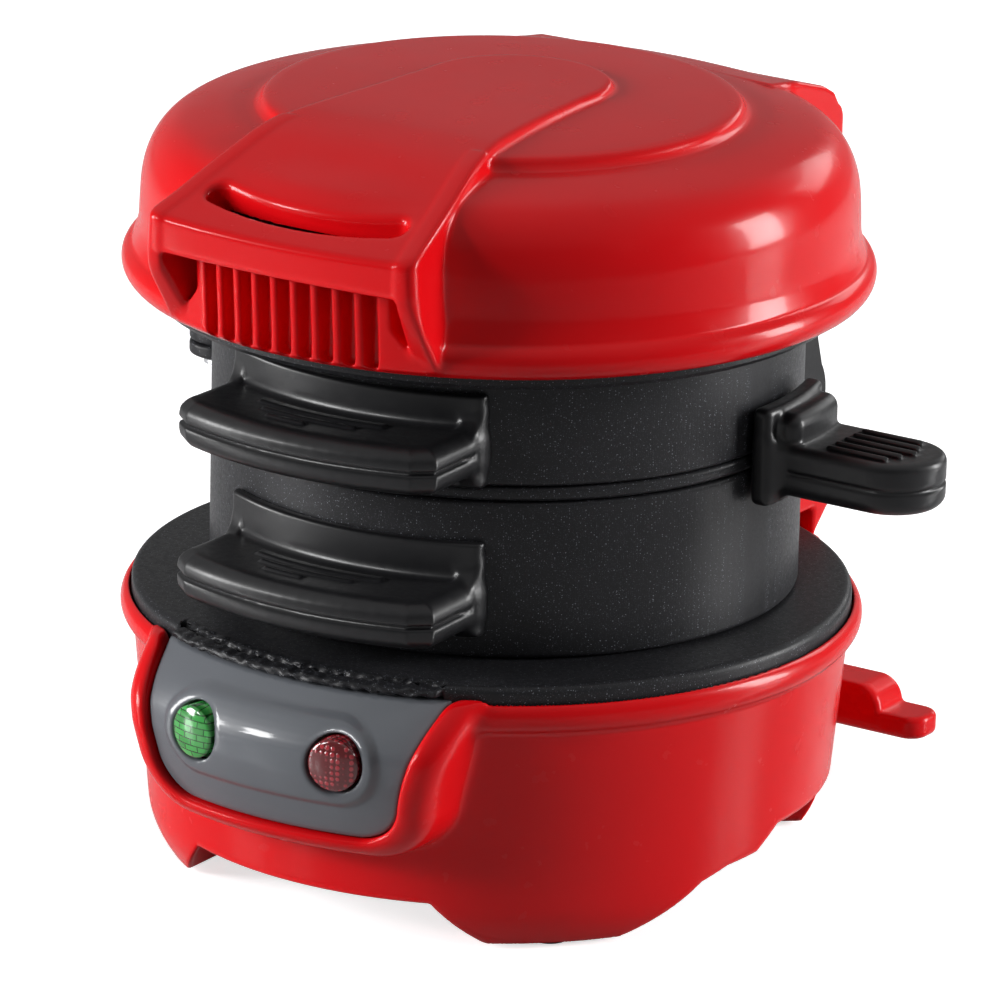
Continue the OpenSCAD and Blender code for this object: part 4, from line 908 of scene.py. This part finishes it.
def ring_handle_field(slab_z, pad_low, pad_high):
    """Bevelled slab in two halves, on a pad that hugs the ring, with a gusset at each end"""
    top = slab_z + HANDLE_T
    middle = slab_z + HANDLE_T / 2

    def field(g):
        plan = handle_plan(g.x, g.y + 0 * g.z)
        r = radius(g, 0, STACK_Y)
        upper = smax(plan, g.z - top, 3.6)
        upper = smax(upper, (plan + g.z - top + BEVEL_TOP) * BEVEL_SCALE, 0.5)
        body = smax(upper, slab_z - g.z, 3.0)
        body = smax(body, (plan + slab_z - g.z + BEVEL_UNDER) * BEVEL_SCALE, 0.5)
        groove = np.maximum(np.abs(g.z - middle) - GROOVE_HALF, -plan - GROOVE_DEPTH)
        body = smax(body, -smax(groove, g.y + 50, 0.3), 0.5)
        pad = rod(slab(r, RING_R + PAD_PLAY, RING_R + PAD_T), g.z, pad_low, pad_high, 0.7)
        pad = smax(pad, np.abs(g.x) - PAD_HALF, 0.9)
        pad = smax(pad, g.y + 30, 0.7)
        slope = (r - RING_R - 2.0 + np.abs(g.z - middle) * 0.75 - HANDLE_T * 0.56) * 0.8
        gusset = smax(slope, slab(np.abs(g.x), PAD_HALF - 3.4, PAD_HALF - 0.2), 0.8)
        gusset = smax(gusset, slab(g.z, pad_low + 0.6, pad_high - 0.6), 0.8)
        shape = smin(smin(body, pad, 1.4), smax(gusset, g.y + 30, 0.5), 1.0)
        shape = smax(shape, -(r - RING_R - PAD_PLAY), 0.3)
        for line_r, start, end, half in HANDLE_LINES:
            across = np.maximum(np.abs(radius(g) - line_r) - half + 0.4, 0)
            past = np.maximum(np.maximum(start - g.x, g.x - end), 0)
            ridge = np.sqrt(across ** 2 + past ** 2 + (g.z - top) ** 2) - LINE_RISE
            shape = smin(shape, ridge, 0.4)
        return shape
    return field


# Handle of the cooking plate: its tip, middle line, width, thickness and how far it hangs
PLATE_REACH = cad("plate_handle")[1][0]
PLATE_HANDLE_Y = STACK_Y + 7
PLATE_ARM_W = 20.0
PLATE_ARM_T = 10.0
PLATE_ARM_DROP = 4.2
# How far the whole handle keeps off the ring's outside
PLATE_PAD_PLAY = 1.2
# Ribs on its top: pitch, radius, and how much shorter each is than the one nearer the middle
PLATE_RIB_PITCH = 3.2
PLATE_RIB_R = 0.8
PLATE_RIB_STEP = 1.2
# Half the width of the slot for the plate's tang, and its play above and below
TANG_HALF = 6.05
TANG_PLAY = 0.05
# Screw holes under it: distances from the ring's outside, radius and depth
PLATE_SCREWS = 6, 13
PLATE_SCREW_R = 3.0
PLATE_SCREW_DEPTH = 1.8


def plate_handle_field(g):
    """Arm with a round end and a ribbed top, and a rounded bar along its root over the tang"""
    y = g.y - PLATE_HANDLE_Y
    r = radius(g, 0, STACK_Y)
    arm_z = PLATE_LOW[2] - PLATE_ARM_DROP
    top = arm_z + PLATE_ARM_T
    tip = PLATE_ARM_W / 2
    plan = np.sqrt(np.maximum(g.x - PLATE_REACH + tip, 0) ** 2 + y ** 2) - tip
    plan = smax(plan, 54 - g.x, 0.5)
    arm = smax(smax(plan, g.z - top, 1.8), arm_z - g.z, 2.6)
    arm = smax(arm, (plan + arm_z - g.z + 1.2) * BEVEL_SCALE, 0.5)
    groove = smax(np.abs(g.z - arm_z - 4.8) - 0.28, -plan - 0.45, 0.2)
    arm = smax(arm, -smax(groove, 64 - g.x, 0.3), 0.4)
    pad = rod(slab(r, RING_R + PLATE_PAD_PLAY, RING_R + 5), g.z, arm_z - 2, arm_z + 16.8, 1.2)
    pad = smax(smax(pad, np.abs(y) - 12, 1.4), 40 - g.x, 0.5)
    shape = smin(arm, pad, 3.0)
    bar = np.maximum(np.abs(r - RING_R - 5.6) - 1.2, 0)
    along = np.maximum(np.abs(y - 0.5) - 7.2, 0)
    rise = np.maximum(np.maximum(g.z - top - 3.2, top - 4 - g.z), 0)
    shape = smin(shape, smax(np.sqrt(bar ** 2 + along ** 2 + rise ** 2) - 2.5, 40 - g.x, 0.5), 1.0)
    for i in range(-2, 3):
        start = RING_R + 14
        end = PLATE_REACH - 5 - abs(i) * PLATE_RIB_STEP
        across = np.sqrt((y - i * PLATE_RIB_PITCH) ** 2 + (g.z - top) ** 2) - PLATE_RIB_R
        shape = smin(shape, smax(across, slab(g.x, start, end), 0.6), 0.3)
    bump = rod(radius(g, PLATE_REACH - tip, PLATE_HANDLE_Y) - 4.5, g.z, arm_z - 1, arm_z + 2, 0.6)
    shape = smin(shape, bump, 0.3)
    shape = smax(shape, -(r - RING_R - PLATE_PAD_PLAY), 0.4)
    # It clears the upper ring as it swings about the pivot
    shape = smax(shape, PIVOT_X + RING_R + 0.3 - radius(g, -PIVOT_X, STACK_Y), 0.4)
    tang = block(g, (50, PLATE_HANDLE_Y - TANG_HALF, PLATE_LOW[2] - TANG_PLAY),
                 (72.1, PLATE_HANDLE_Y + TANG_HALF, PLATE_HIGH[2] + TANG_PLAY), 0.2)
    shape = smax(shape, -tang, 0.3)
    for out in PLATE_SCREWS:
        hole = radius(g, RING_R + out, PLATE_HANDLE_Y) - PLATE_SCREW_R
        shape = smax(shape, -smax(hole, g.z - arm_z - PLATE_SCREW_DEPTH, 0.2), 0.3)
    return shape


def make_handles():
    lower = ring_handle_field(RING_LOW[0] + 6.4, RING_LOW[0] + 4.5, RING_LOW[1] - 7.4)
    upper = ring_handle_field(RING_HIGH[0] + 2.6, RING_HIGH[0], RING_HIGH[1] - 4.3)
    return [skin("lower_ring_handle", "lower_leaf", "black_plastic", lower, 0.35),
            skin("upper_ring_handle", "upper_leaf", "black_plastic", upper, 0.35),
            skin("plate_handle", "swing_plate", "black_plastic", plate_handle_field, 0.3)]


# REAR: the cleat for the cord. The hinge's arms and bracket show their CAD shapes.

# Cleat: height of its neck's middle, front and rear of its bar, lowest level, the neck's half
# width and how far its top stands over the middle
CLEAT_Z = 24.0
CLEAT_Y = (74.0, 84.0)
CLEAT_LOW = 8.5
NECK_HALF = 17
NECK_RISE = 2.4
# Flat horns: where their round ends begin, the ends' radius and the horns' thickness
HORN_X = 48
HORN_R = 4
HORN_T = 4.5
# Bar: where its round ends begin and their radius
BAR_X = 38
BAR_R = 5


def cleat_field(g):
    """Neck from the wall to a bar with two flat horns"""
    neck_top = CLEAT_Z + NECK_RISE
    neck = block(g, (-NECK_HALF, 58, CLEAT_Z - 5), (NECK_HALF, CLEAT_Y[1], neck_top), 1.2)
    drop = block(g, (-NECK_HALF, CLEAT_Y[0], CLEAT_LOW), (NECK_HALF, CLEAT_Y[1], neck_top), 1.2)
    side = np.maximum(np.abs(g.x) - HORN_X, 0)
    middle = (CLEAT_Y[0] + CLEAT_Y[1]) / 2
    horn = np.sqrt(side ** 2 + np.maximum(np.abs(g.y - middle) - 1, 0) ** 2) - HORN_R
    horn = rod(horn, g.z, CLEAT_LOW, CLEAT_LOW + HORN_T, 1.2)
    over = np.maximum(g.z - CLEAT_LOW - 4.4, 0)
    end = np.sqrt(np.maximum(np.abs(g.x) - BAR_X, 0) ** 2 + over ** 2) - BAR_R
    bar = rod(smax(end, CLEAT_LOW + 1 - g.z, 0.5), g.y, CLEAT_Y[0], CLEAT_Y[1], 1.2)
    shape = smin(smin(neck, drop, 1.2), smin(horn, bar, 1.0), 1.2)
    r = radius(g)
    wall = WALL_R - WALL_DRAFT * (BEAD_Z0 - g.z) + 0.1
    return smax(smax(shape, wall - r, 0.4), g.y - CLEAT_Y[1] + 0.05, 0.3)


def make_rear():
    return skin("cord_wrap", "base", "red_shell", cleat_field, 0.5)


# LENSES: a clear dome over a small pattern of cells


# Distance of a lens's seat from the axis, the dome's radius and height over it, the barrel's
# depth behind it, and the sides of its circles
LENS_FACE = 77.5
DOME_R = 13.0
DOME_PROUD = 1.5
BARREL = 3.5
LENS_SIDES = 64


def lens_piece(name, side, slot):
    """Dome, rim and barrel, turned about its own axis, which looks out of the panel"""
    rings = [(0.0, DOME_PROUD)]
    for r in np.linspace(0.5, LENS_R - 0.25, 12):
        rings.append((r, DOME_PROUD - DOME_R + math.sqrt(DOME_R ** 2 - r * r)))
    rim = rings[-1][1]
    rings += [(LENS_R - 0.05, rim - 0.25), (LENS_R, rim - 0.6), (LENS_R, -BARREL)]
    sides = LENS_SIDES
    verts = [(0.0, -rings[0][1] * MM, 0.0)]
    faces = []
    for k, (r, out) in enumerate(rings[1:]):
        for i in range(sides):
            a = 2 * math.pi * i / sides
            verts.append((r * math.cos(a) * MM, -out * MM, r * math.sin(a) * MM))
        for i in range(sides):
            j = (i + 1) % sides
            if k == 0:
                faces.append((0, 1 + i, 1 + j))
            else:
                a, b = 1 + (k - 1) * sides, 1 + k * sides
                faces.append((a + i, b + i, b + j, a + j))
    last = 1 + (len(rings) - 2) * sides
    faces.append(tuple(last + i for i in range(sides)))
    mesh = bpy.data.meshes.new(name)
    mesh.from_pydata(verts, [], faces)
    mesh.shade_smooth()
    turn = Matrix.Rotation(math.radians(side * LENS_ANGLE), 4, "Z")
    mesh.transform(turn @ Matrix.Translation((0, -LENS_FACE * MM, LENS_Z * MM)))
    piece = bpy.data.objects.new(name, mesh)
    bpy.context.scene.collection.objects.link(piece)
    return finish_piece(piece, "base", slot, slot)


# MATERIALS: procedural, placed by object coordinates. Sizes of a pattern are in millimetres.

# Places of a colour Mix node's sockets, whose names repeat for each data type
MIX_A, MIX_B, MIX_OUT = 6, 7, 2
FLOAT_A, FLOAT_B, FLOAT_OUT = 2, 3, 0


class Shading:
    """A material under construction, with short ways to add and join its nodes"""

    def __init__(self, name, colour, roughness, metallic=0.0, coat=0.0, coat_roughness=0.05,
                 specular=0.2):
        self.material = bpy.data.materials.new(name)
        self.material.use_nodes = True
        self.tree = self.material.node_tree
        self.shader = self.tree.nodes["Principled BSDF"]
        self.set("Base Color", (*colour, 1))
        self.set("Roughness", roughness)
        self.set("Metallic", metallic)
        self.set("Coat Weight", coat)
        self.set("Coat Roughness", coat_roughness)
        self.set("Specular IOR Level", specular)
        self.place = self.add("ShaderNodeTexCoord").outputs["Object"]

    def set(self, socket, value):
        self.shader.inputs[socket].default_value = value

    def add(self, kind, **values):
        """New node; a value goes to the socket or property of its name, or is linked to it"""
        node = self.tree.nodes.new(kind)
        for key, value in values.items():
            if isinstance(value, bpy.types.NodeSocket):
                self.tree.links.new(value, node.inputs[key.replace("_", " ")])
            elif key.replace("_", " ") in node.inputs:
                node.inputs[key.replace("_", " ")].default_value = value
            else:
                setattr(node, key, value)
        return node

    def link(self, output, socket):
        self.tree.links.new(output, self.shader.inputs[socket])

    def noise(self, size, detail=3.0, roughness=0.5):
        """Noise whose lumps are about size millimetres wide"""
        return self.add("ShaderNodeTexNoise", Vector=self.place, Scale=1 / (size * MM),
                        Detail=detail, Roughness=roughness).outputs["Fac"]

    def spread(self, value, low, high, out_low, out_high):
        """A value's range from low to high stretched to another one"""
        node = self.add("ShaderNodeMapRange", Value=value)
        node.inputs["From Min"].default_value = low
        node.inputs["From Max"].default_value = high
        node.inputs["To Min"].default_value = out_low
        node.inputs["To Max"].default_value = out_high
        return node.outputs["Result"]

    def mix(self, factor, first, second):
        """Two colours blended by a factor"""
        node = self.add("ShaderNodeMix", data_type="RGBA")
        self.tree.links.new(factor, node.inputs["Factor"])
        for key, value in ((MIX_A, first), (MIX_B, second)):
            if isinstance(value, bpy.types.NodeSocket):
                self.tree.links.new(value, node.inputs[key])
            else:
                node.inputs[key].default_value = (*value, 1)
        return node.outputs[MIX_OUT]

    def bump(self, height, strength, distance_mm):
        """Relief of a height map on the surface"""
        node = self.add("ShaderNodeBump", Height=height, Strength=strength,
                        Distance=distance_mm * MM)
        self.link(node.outputs["Normal"], "Normal")
        return node


def red_shell():
    """Glossy lacquered plastic, its colour deepening slightly in slow clouds"""
    s = Shading("red_lacquer", (0.62, 0.005, 0.008), 0.25, coat=0.13, coat_roughness=0.07,
                specular=0.12)
    clouds = s.noise(30, 2)
    s.link(s.mix(clouds, (0.57, 0.002, 0.004), (0.66, 0.003, 0.006)), "Base Color")
    s.link(s.spread(s.noise(6, 4), 0.3, 0.7, 0.21, 0.28), "Roughness")
    s.bump(s.noise(1.6, 2), 0.012, 0.2)
    return s.material


def grey_panel():
    """Satin grey plastic with a thin gloss"""
    s = Shading("panel_grey", (0.105, 0.112, 0.125), 0.34, coat=0.4, coat_roughness=0.08)
    s.link(s.mix(s.noise(14, 2), (0.098, 0.105, 0.118), (0.114, 0.122, 0.136)), "Base Color")
    s.link(s.spread(s.noise(1.2, 4), 0.3, 0.7, 0.30, 0.40), "Roughness")
    s.bump(s.noise(0.5, 3), 0.05, 0.1)
    return s.material


# Flecks in the coating: size of a cell, how much of it a fleck fills, the share of cells without
# one, and colour
FLECKS = [(0.36, 0.30, 0.82, (0.20, 0.21, 0.24)), (0.22, 0.34, 0.60, (0.055, 0.058, 0.068))]


def coated_metal():
    """Black non-stick coating, strewn with fine bright flecks and slightly pebbled"""
    s = Shading("nonstick_black", (0.010, 0.010, 0.012), 0.40)
    ground = s.mix(s.noise(9, 3), (0.008, 0.008, 0.009), (0.014, 0.014, 0.016))
    for size, edge, rare, colour in FLECKS:
        cells = s.add("ShaderNodeTexVoronoi", Vector=s.place, Scale=1 / (size * MM))
        flecks = s.spread(cells.outputs["Distance"], edge, edge * 0.6, 0, 1)
        chosen = s.add("ShaderNodeSeparateColor", Color=cells.outputs["Color"]).outputs["Red"]
        both = s.add("ShaderNodeMath", operation="MULTIPLY")
        s.tree.links.new(flecks, both.inputs[0])
        s.tree.links.new(s.spread(chosen, rare - 0.06, rare + 0.04, 0, 1), both.inputs[1])
        ground = s.mix(both.outputs[0], ground, colour)
    s.link(ground, "Base Color")
    s.link(s.spread(s.noise(0.8, 3), 0.3, 0.7, 0.34, 0.48), "Roughness")
    s.bump(s.noise(0.45, 3), 0.20, 0.12)
    return s.material


def black_plastic():
    """Satin black plastic of the handles"""
    s = Shading("satin_black", (0.008, 0.008, 0.009), 0.36, coat=0.10, coat_roughness=0.20,
                specular=0.25)
    s.link(s.mix(s.noise(8, 3), (0.006, 0.006, 0.007), (0.011, 0.011, 0.012)), "Base Color")
    s.link(s.spread(s.noise(1.5, 4), 0.3, 0.7, 0.32, 0.44), "Roughness")
    s.bump(s.noise(0.35, 2), 0.10, 0.08)
    return s.material


def black_steel():
    """Sheet steel in black enamel"""
    s = Shading("enamel_black", (0.012, 0.012, 0.013), 0.34)
    s.link(s.spread(s.noise(2.0, 4), 0.3, 0.7, 0.28, 0.42), "Roughness")
    s.link(s.mix(s.noise(7, 3), (0.009, 0.009, 0.010), (0.017, 0.017, 0.018)), "Base Color")
    s.bump(s.noise(0.6, 2), 0.10, 0.08)
    return s.material


def brushed(name, colour, roughness, grain):
    """Metal with fine drawn lines along X and slow tarnish"""
    s = Shading(name, colour, roughness, metallic=1.0)
    stretch = s.add("ShaderNodeMapping", Vector=s.place)
    stretch.inputs["Scale"].default_value = (0.06, 1, 1)
    lines = s.add("ShaderNodeTexNoise", Vector=stretch.outputs["Vector"], Scale=1 / (grain * MM),
                  Detail=3.0)
    s.link(s.spread(lines.outputs["Fac"], 0.3, 0.7, roughness * 0.8, roughness * 1.3), "Roughness")
    dark = tuple(c * 0.82 for c in colour)
    s.link(s.mix(s.noise(5, 3), dark, colour), "Base Color")
    s.bump(lines.outputs["Fac"], 0.08, 0.05)
    return s.material


def element_steel():
    """Steel tube, tinted brown and blue by its own heat"""
    s = Shading("heated_steel", (0.36, 0.33, 0.31), 0.38, metallic=1.0)
    tint = s.mix(s.noise(11, 2), (0.42, 0.33, 0.25), (0.30, 0.32, 0.40))
    s.link(s.mix(s.noise(2, 4), tint, (0.40, 0.38, 0.36)), "Base Color")
    s.bump(s.noise(0.7, 3), 0.15, 0.08)
    return s.material


def ceramic():
    """Bare ceramic of the terminals"""
    s = Shading("bare_ceramic", (0.72, 0.69, 0.60), 0.75)
    s.link(s.mix(s.noise(1.2, 4), (0.66, 0.62, 0.53), (0.77, 0.75, 0.67)), "Base Color")
    s.bump(s.noise(0.4, 3), 0.25, 0.1)
    return s.material


def clear_lamp():
    """Warm glass of the indicator lamps"""
    s = Shading("lamp_glass", (0.9, 0.8, 0.62), 0.08, coat=0.3)
    s.set("Transmission Weight", 0.6)
    s.link(s.mix(s.noise(3, 2), (0.92, 0.82, 0.64), (0.84, 0.72, 0.52)), "Base Color")
    return s.material


def wire_sleeve():
    """Braided heat-proof sleeve: two crossed sets of fine strands"""
    s = Shading("braided_sleeve", (0.72, 0.66, 0.52), 0.8)
    s.set("Sheen Weight", 0.3)
    waves = []
    for turn in (0.7, -0.7):
        lean = s.add("ShaderNodeMapping", Vector=s.place)
        lean.inputs["Rotation"].default_value = (turn, 0, turn)
        waves.append(s.add("ShaderNodeTexWave", Vector=lean.outputs["Vector"], Scale=0.35 / MM,
                           Distortion=1.0).outputs["Fac"])
    braid = s.add("ShaderNodeMath", operation="MAXIMUM")
    s.tree.links.new(waves[0], braid.inputs[0])
    s.tree.links.new(waves[1], braid.inputs[1])
    s.link(s.mix(braid.outputs[0], (0.52, 0.46, 0.34), (0.78, 0.73, 0.60)), "Base Color")
    s.bump(braid.outputs[0], 0.5, 0.15)
    return s.material


def pad_rubber():
    """Dull rubber of the foot pads"""
    s = Shading("foot_rubber", (0.03, 0.03, 0.03), 0.75)
    s.link(s.mix(s.noise(1.0, 4), (0.022, 0.022, 0.022), (0.042, 0.042, 0.042)), "Base Color")
    s.bump(s.noise(0.5, 4), 0.3, 0.1)
    return s.material


def green_lens():
    """Tinted lens, its inside cut into small bricks"""
    s = Shading("lens_green", (0.02, 0.2, 0.03), 0.14, coat=0.5, coat_roughness=0.04,
                specular=0.4)
    flat = s.add("ShaderNodeMapping", Vector=s.place)
    flat.inputs["Rotation"].default_value = (math.pi / 2, 0, 0)
    bricks = s.add("ShaderNodeTexBrick", Vector=flat.outputs["Vector"], Scale=1 / (3.4 * MM))
    bricks.inputs["Mortar Size"].default_value = 0.035
    bricks.inputs["Brick Width"].default_value = 0.9
    bricks.inputs["Row Height"].default_value = 0.36
    bricks.inputs["Color1"].default_value = (0.05, 0.36, 0.07, 1)
    bricks.inputs["Color2"].default_value = (0.02, 0.20, 0.03, 1)
    bricks.inputs["Mortar"].default_value = (0.004, 0.07, 0.01, 1)
    s.link(bricks.outputs["Color"], "Base Color")
    s.bump(bricks.outputs["Fac"], 0.4, 0.25).invert = True
    return s.material


def red_lens():
    """Tinted lens, its inside studded with small round cells"""
    s = Shading("lens_red", (0.2, 0.006, 0.012), 0.14, coat=0.5, coat_roughness=0.04,
                specular=0.4)
    cells = s.add("ShaderNodeTexVoronoi", Vector=s.place, Scale=1 / (1.15 * MM))
    cells.inputs["Randomness"].default_value = 0.0
    dots = s.spread(cells.outputs["Distance"], 0.30, 0.46, 1, 0)
    s.link(s.mix(dots, (0.10, 0.003, 0.005), (0.36, 0.02, 0.03)), "Base Color")
    s.bump(dots, 0.45, 0.25)
    return s.material


MAKERS = {
    "red_shell": red_shell, "grey_panel": grey_panel, "black_coated_metal": coated_metal,
    "black_plastic": black_plastic, "black_steel": black_steel, "element_steel": element_steel,
    "ceramic": ceramic, "clear_lamp": clear_lamp, "wire_sleeve": wire_sleeve,
    "pad_rubber": pad_rubber, "green_lens": green_lens, "red_lens": red_lens,
    "bright_steel": lambda: brushed("plain_steel", (0.70, 0.71, 0.73), 0.26, 0.35),
    "shield_aluminium": lambda: brushed("mill_aluminium", (0.72, 0.73, 0.74), 0.40, 0.5),
}
materials = {slot: make() for slot, make in MAKERS.items()}


def wear(piece, slot):
    """Give an object one of the materials"""
    piece.data.materials.clear()
    piece.data.materials.append(materials[slot])


# CAMERA: the photograph's, fitted in millimetres about a target above the origin

CAMERA_TURN = math.radians(32.8362)
CAMERA_RISE = math.radians(16.8296)
CAMERA_ROLL = math.radians(1.3197)
CAMERA_DISTANCE = 1600.0
FOCAL_PIXELS = 8488.9
CENTRE_PIXEL = (496.88, 360.24)
TARGET = Vector((0, 0, 95))
FRAME_PIXELS = 1000
SENSOR = 36.0


def make_camera():
    """Camera that sees what the photograph's saw"""
    back = Vector((math.sin(CAMERA_TURN) * math.cos(CAMERA_RISE),
                   -math.cos(CAMERA_TURN) * math.cos(CAMERA_RISE), math.sin(CAMERA_RISE)))
    right = Vector((math.cos(CAMERA_TURN), math.sin(CAMERA_TURN), 0))
    up = back.cross(right)
    right_rolled = right * math.cos(CAMERA_ROLL) + up * math.sin(CAMERA_ROLL)
    up_rolled = up * math.cos(CAMERA_ROLL) - right * math.sin(CAMERA_ROLL)
    middle = FRAME_PIXELS / 2
    aim = (-back * FOCAL_PIXELS + right_rolled * (middle - CENTRE_PIXEL[0])
           - up_rolled * (middle - CENTRE_PIXEL[1])).normalized()
    side = (right_rolled - aim * right_rolled.dot(aim)).normalized()
    rise = side.cross(aim)
    data = bpy.data.cameras.new("camera")
    data.sensor_width = SENSOR
    data.lens = FOCAL_PIXELS / FRAME_PIXELS * SENSOR
    data.clip_end = 20
    camera = bpy.data.objects.new("camera", data)
    bpy.context.scene.collection.objects.link(camera)
    turn = Matrix((side, rise, -aim)).transposed().to_4x4()
    camera.matrix_world = Matrix.Translation((TARGET + back * CAMERA_DISTANCE) * MM) @ turn
    bpy.context.scene.camera = camera


# LIGHT

# Grey of the world as a source of light
AMBIENT = 0.05
# The world in gloss: white above, GLOSS_SIDES of it up to the height GLOSS_FROM of the direction
GLOSS_SIDES = 0.26
GLOSS_FROM = 0.4
# Floor: half its side in metres, its colour as it shows and as a source of light, its glow to the
# camera near the object, and the distances in metres over which that rises to white
FLOOR_HALF = 3.0
FLOOR_SHOWN = (0.86, 0.86, 0.87)
FLOOR_LIGHT = (0.34, 0.34, 0.34)
FLOOR_GLOW = 0.68
GLOW_RISE = 0.45, 1.2
# Soft boxes: name, place and aim in metres, width, height, watts
LAMPS = [
    ("left", (-1.3, -0.95, 0.45), (0, 0, 0.08), 0.5, 0.6, 30),
    ("right", (1.2, 0.8, 0.45), (0, 0, 0.08), 0.4, 0.7, 26),
    ("glint", (-0.85, -1.3, 0.7), (0, 0, 0.08), 0.22, 0.28, 9),
    ("side", (1.3, -0.35, 0.75), (0, 0, 0.08), 0.3, 0.4, 2),
    ("behind", (0.2, 1.4, 0.7), (0, 0, 0.1), 0.8, 0.4, 4),
]
# Lamps that gloss doesn't show
HIDDEN_IN_GLOSS = ["side"]


def lamp(name, place, aim, width, height, watts):
    """A soft box at a place in metres, turned to its aim"""
    data = bpy.data.lights.new(name, "AREA")
    data.shape = "RECTANGLE"
    data.size = width
    data.size_y = height
    data.energy = watts
    thing = bpy.data.objects.new(name, data)
    bpy.context.scene.collection.objects.link(thing)
    way = Vector(aim) - Vector(place)
    turn = way.to_track_quat("-Z", "Y").to_matrix().to_4x4()
    thing.matrix_world = Matrix.Translation(place) @ turn
    thing.visible_glossy = name not in HIDDEN_IN_GLOSS


def seen_rays(tree):
    """Light Path node, and 1 for the rays of the camera, of gloss and of glass"""
    path = tree.nodes.new("ShaderNodeLightPath")
    total = path.outputs["Is Camera Ray"]
    for name in ("Is Glossy Ray", "Is Transmission Ray"):
        larger = tree.nodes.new("ShaderNodeMath")
        larger.operation = "MAXIMUM"
        tree.links.new(total, larger.inputs[0])
        tree.links.new(path.outputs[name], larger.inputs[1])
        total = larger.outputs[0]
    return path, total


def make_world():
    """Plain soft room, white behind the object; in gloss white above and dimmer at the sides"""
    world = bpy.data.worlds.new("studio")
    bpy.context.scene.world = world
    world.use_nodes = True
    tree = world.node_tree
    background = tree.nodes["Background"]
    path, seen = seen_rays(tree)
    way = tree.nodes.new("ShaderNodeSeparateXYZ")
    tree.links.new(tree.nodes.new("ShaderNodeTexCoord").outputs["Generated"], way.inputs[0])
    height = tree.nodes.new("ShaderNodeMapRange")
    tree.links.new(way.outputs["Z"], height.inputs["Value"])
    height.inputs["From Min"].default_value = GLOSS_FROM
    height.inputs["From Max"].default_value = 1.0
    height.inputs["To Min"].default_value = GLOSS_SIDES
    height.inputs["To Max"].default_value = 1.0
    gloss = tree.nodes.new("ShaderNodeMix")
    gloss.data_type = "FLOAT"
    tree.links.new(path.outputs["Is Glossy Ray"], gloss.inputs["Factor"])
    tree.links.new(seen, gloss.inputs[FLOAT_A])
    tree.links.new(height.outputs["Result"], gloss.inputs[FLOAT_B])
    mix = tree.nodes.new("ShaderNodeMix")
    mix.data_type = "RGBA"
    tree.links.new(gloss.outputs[FLOAT_OUT], mix.inputs["Factor"])
    mix.inputs[MIX_A].default_value = (AMBIENT, AMBIENT, AMBIENT, 1)
    mix.inputs[MIX_B].default_value = (1, 1, 1, 1)
    tree.links.new(mix.outputs[MIX_OUT], background.inputs["Color"])


def make_floor():
    """Pale table: glows to the camera alone, holds the shadow, dimmer as a source of light"""
    half = FLOOR_HALF
    mesh = bpy.data.meshes.new("floor")
    mesh.from_pydata([(-half, -half, 0), (half, -half, 0), (half, half, 0), (-half, half, 0)], [],
                     [(0, 1, 2, 3)])
    floor = bpy.data.objects.new("floor", mesh)
    bpy.context.scene.collection.objects.link(floor)
    s = Shading("white_table", FLOOR_SHOWN, 0.32, specular=0.35)
    s.link(s.spread(s.noise(40, 2), 0.3, 0.7, 0.28, 0.36), "Roughness")
    path, seen = seen_rays(s.tree)
    s.link(s.mix(seen, FLOOR_LIGHT, FLOOR_SHOWN), "Base Color")
    amount = s.add("ShaderNodeMath", operation="MULTIPLY")
    s.tree.links.new(path.outputs["Is Camera Ray"], amount.inputs[0])
    away = s.add("ShaderNodeVectorMath", operation="LENGTH", Vector=s.place)
    glow = s.spread(away.outputs["Value"], *GLOW_RISE, FLOOR_GLOW, 1.0)
    s.tree.links.new(glow, amount.inputs[1])
    s.set("Emission Color", (1, 1, 1, 1))
    s.link(amount.outputs[0], "Emission Strength")
    mesh.materials.append(s.material)


# THE SCENE

make_camera()
make_world()
make_floor()
for row in LAMPS:
    lamp(*row)

bpy.context.scene.view_settings.view_transform = "Standard"

slot_of = {part["node"]: part["material_slot"] for part in frame["record"]["subparts"]}
for name, thing in frame["nodes"].items():
    wear(thing, slot_of[name])
for made in (make_lid(), make_base()):
    wear(made, "red_shell")
wear(make_panel(), "grey_panel")
for made in make_stack():
    wear(made, "black_coated_metal")
for made in make_handles():
    wear(made, "black_plastic")
wear(make_rear(), "red_shell")
for name, side in (("green_lens", -1), ("red_lens", 1)):
    wear(lens_piece(name + "_dome", side, name), name)
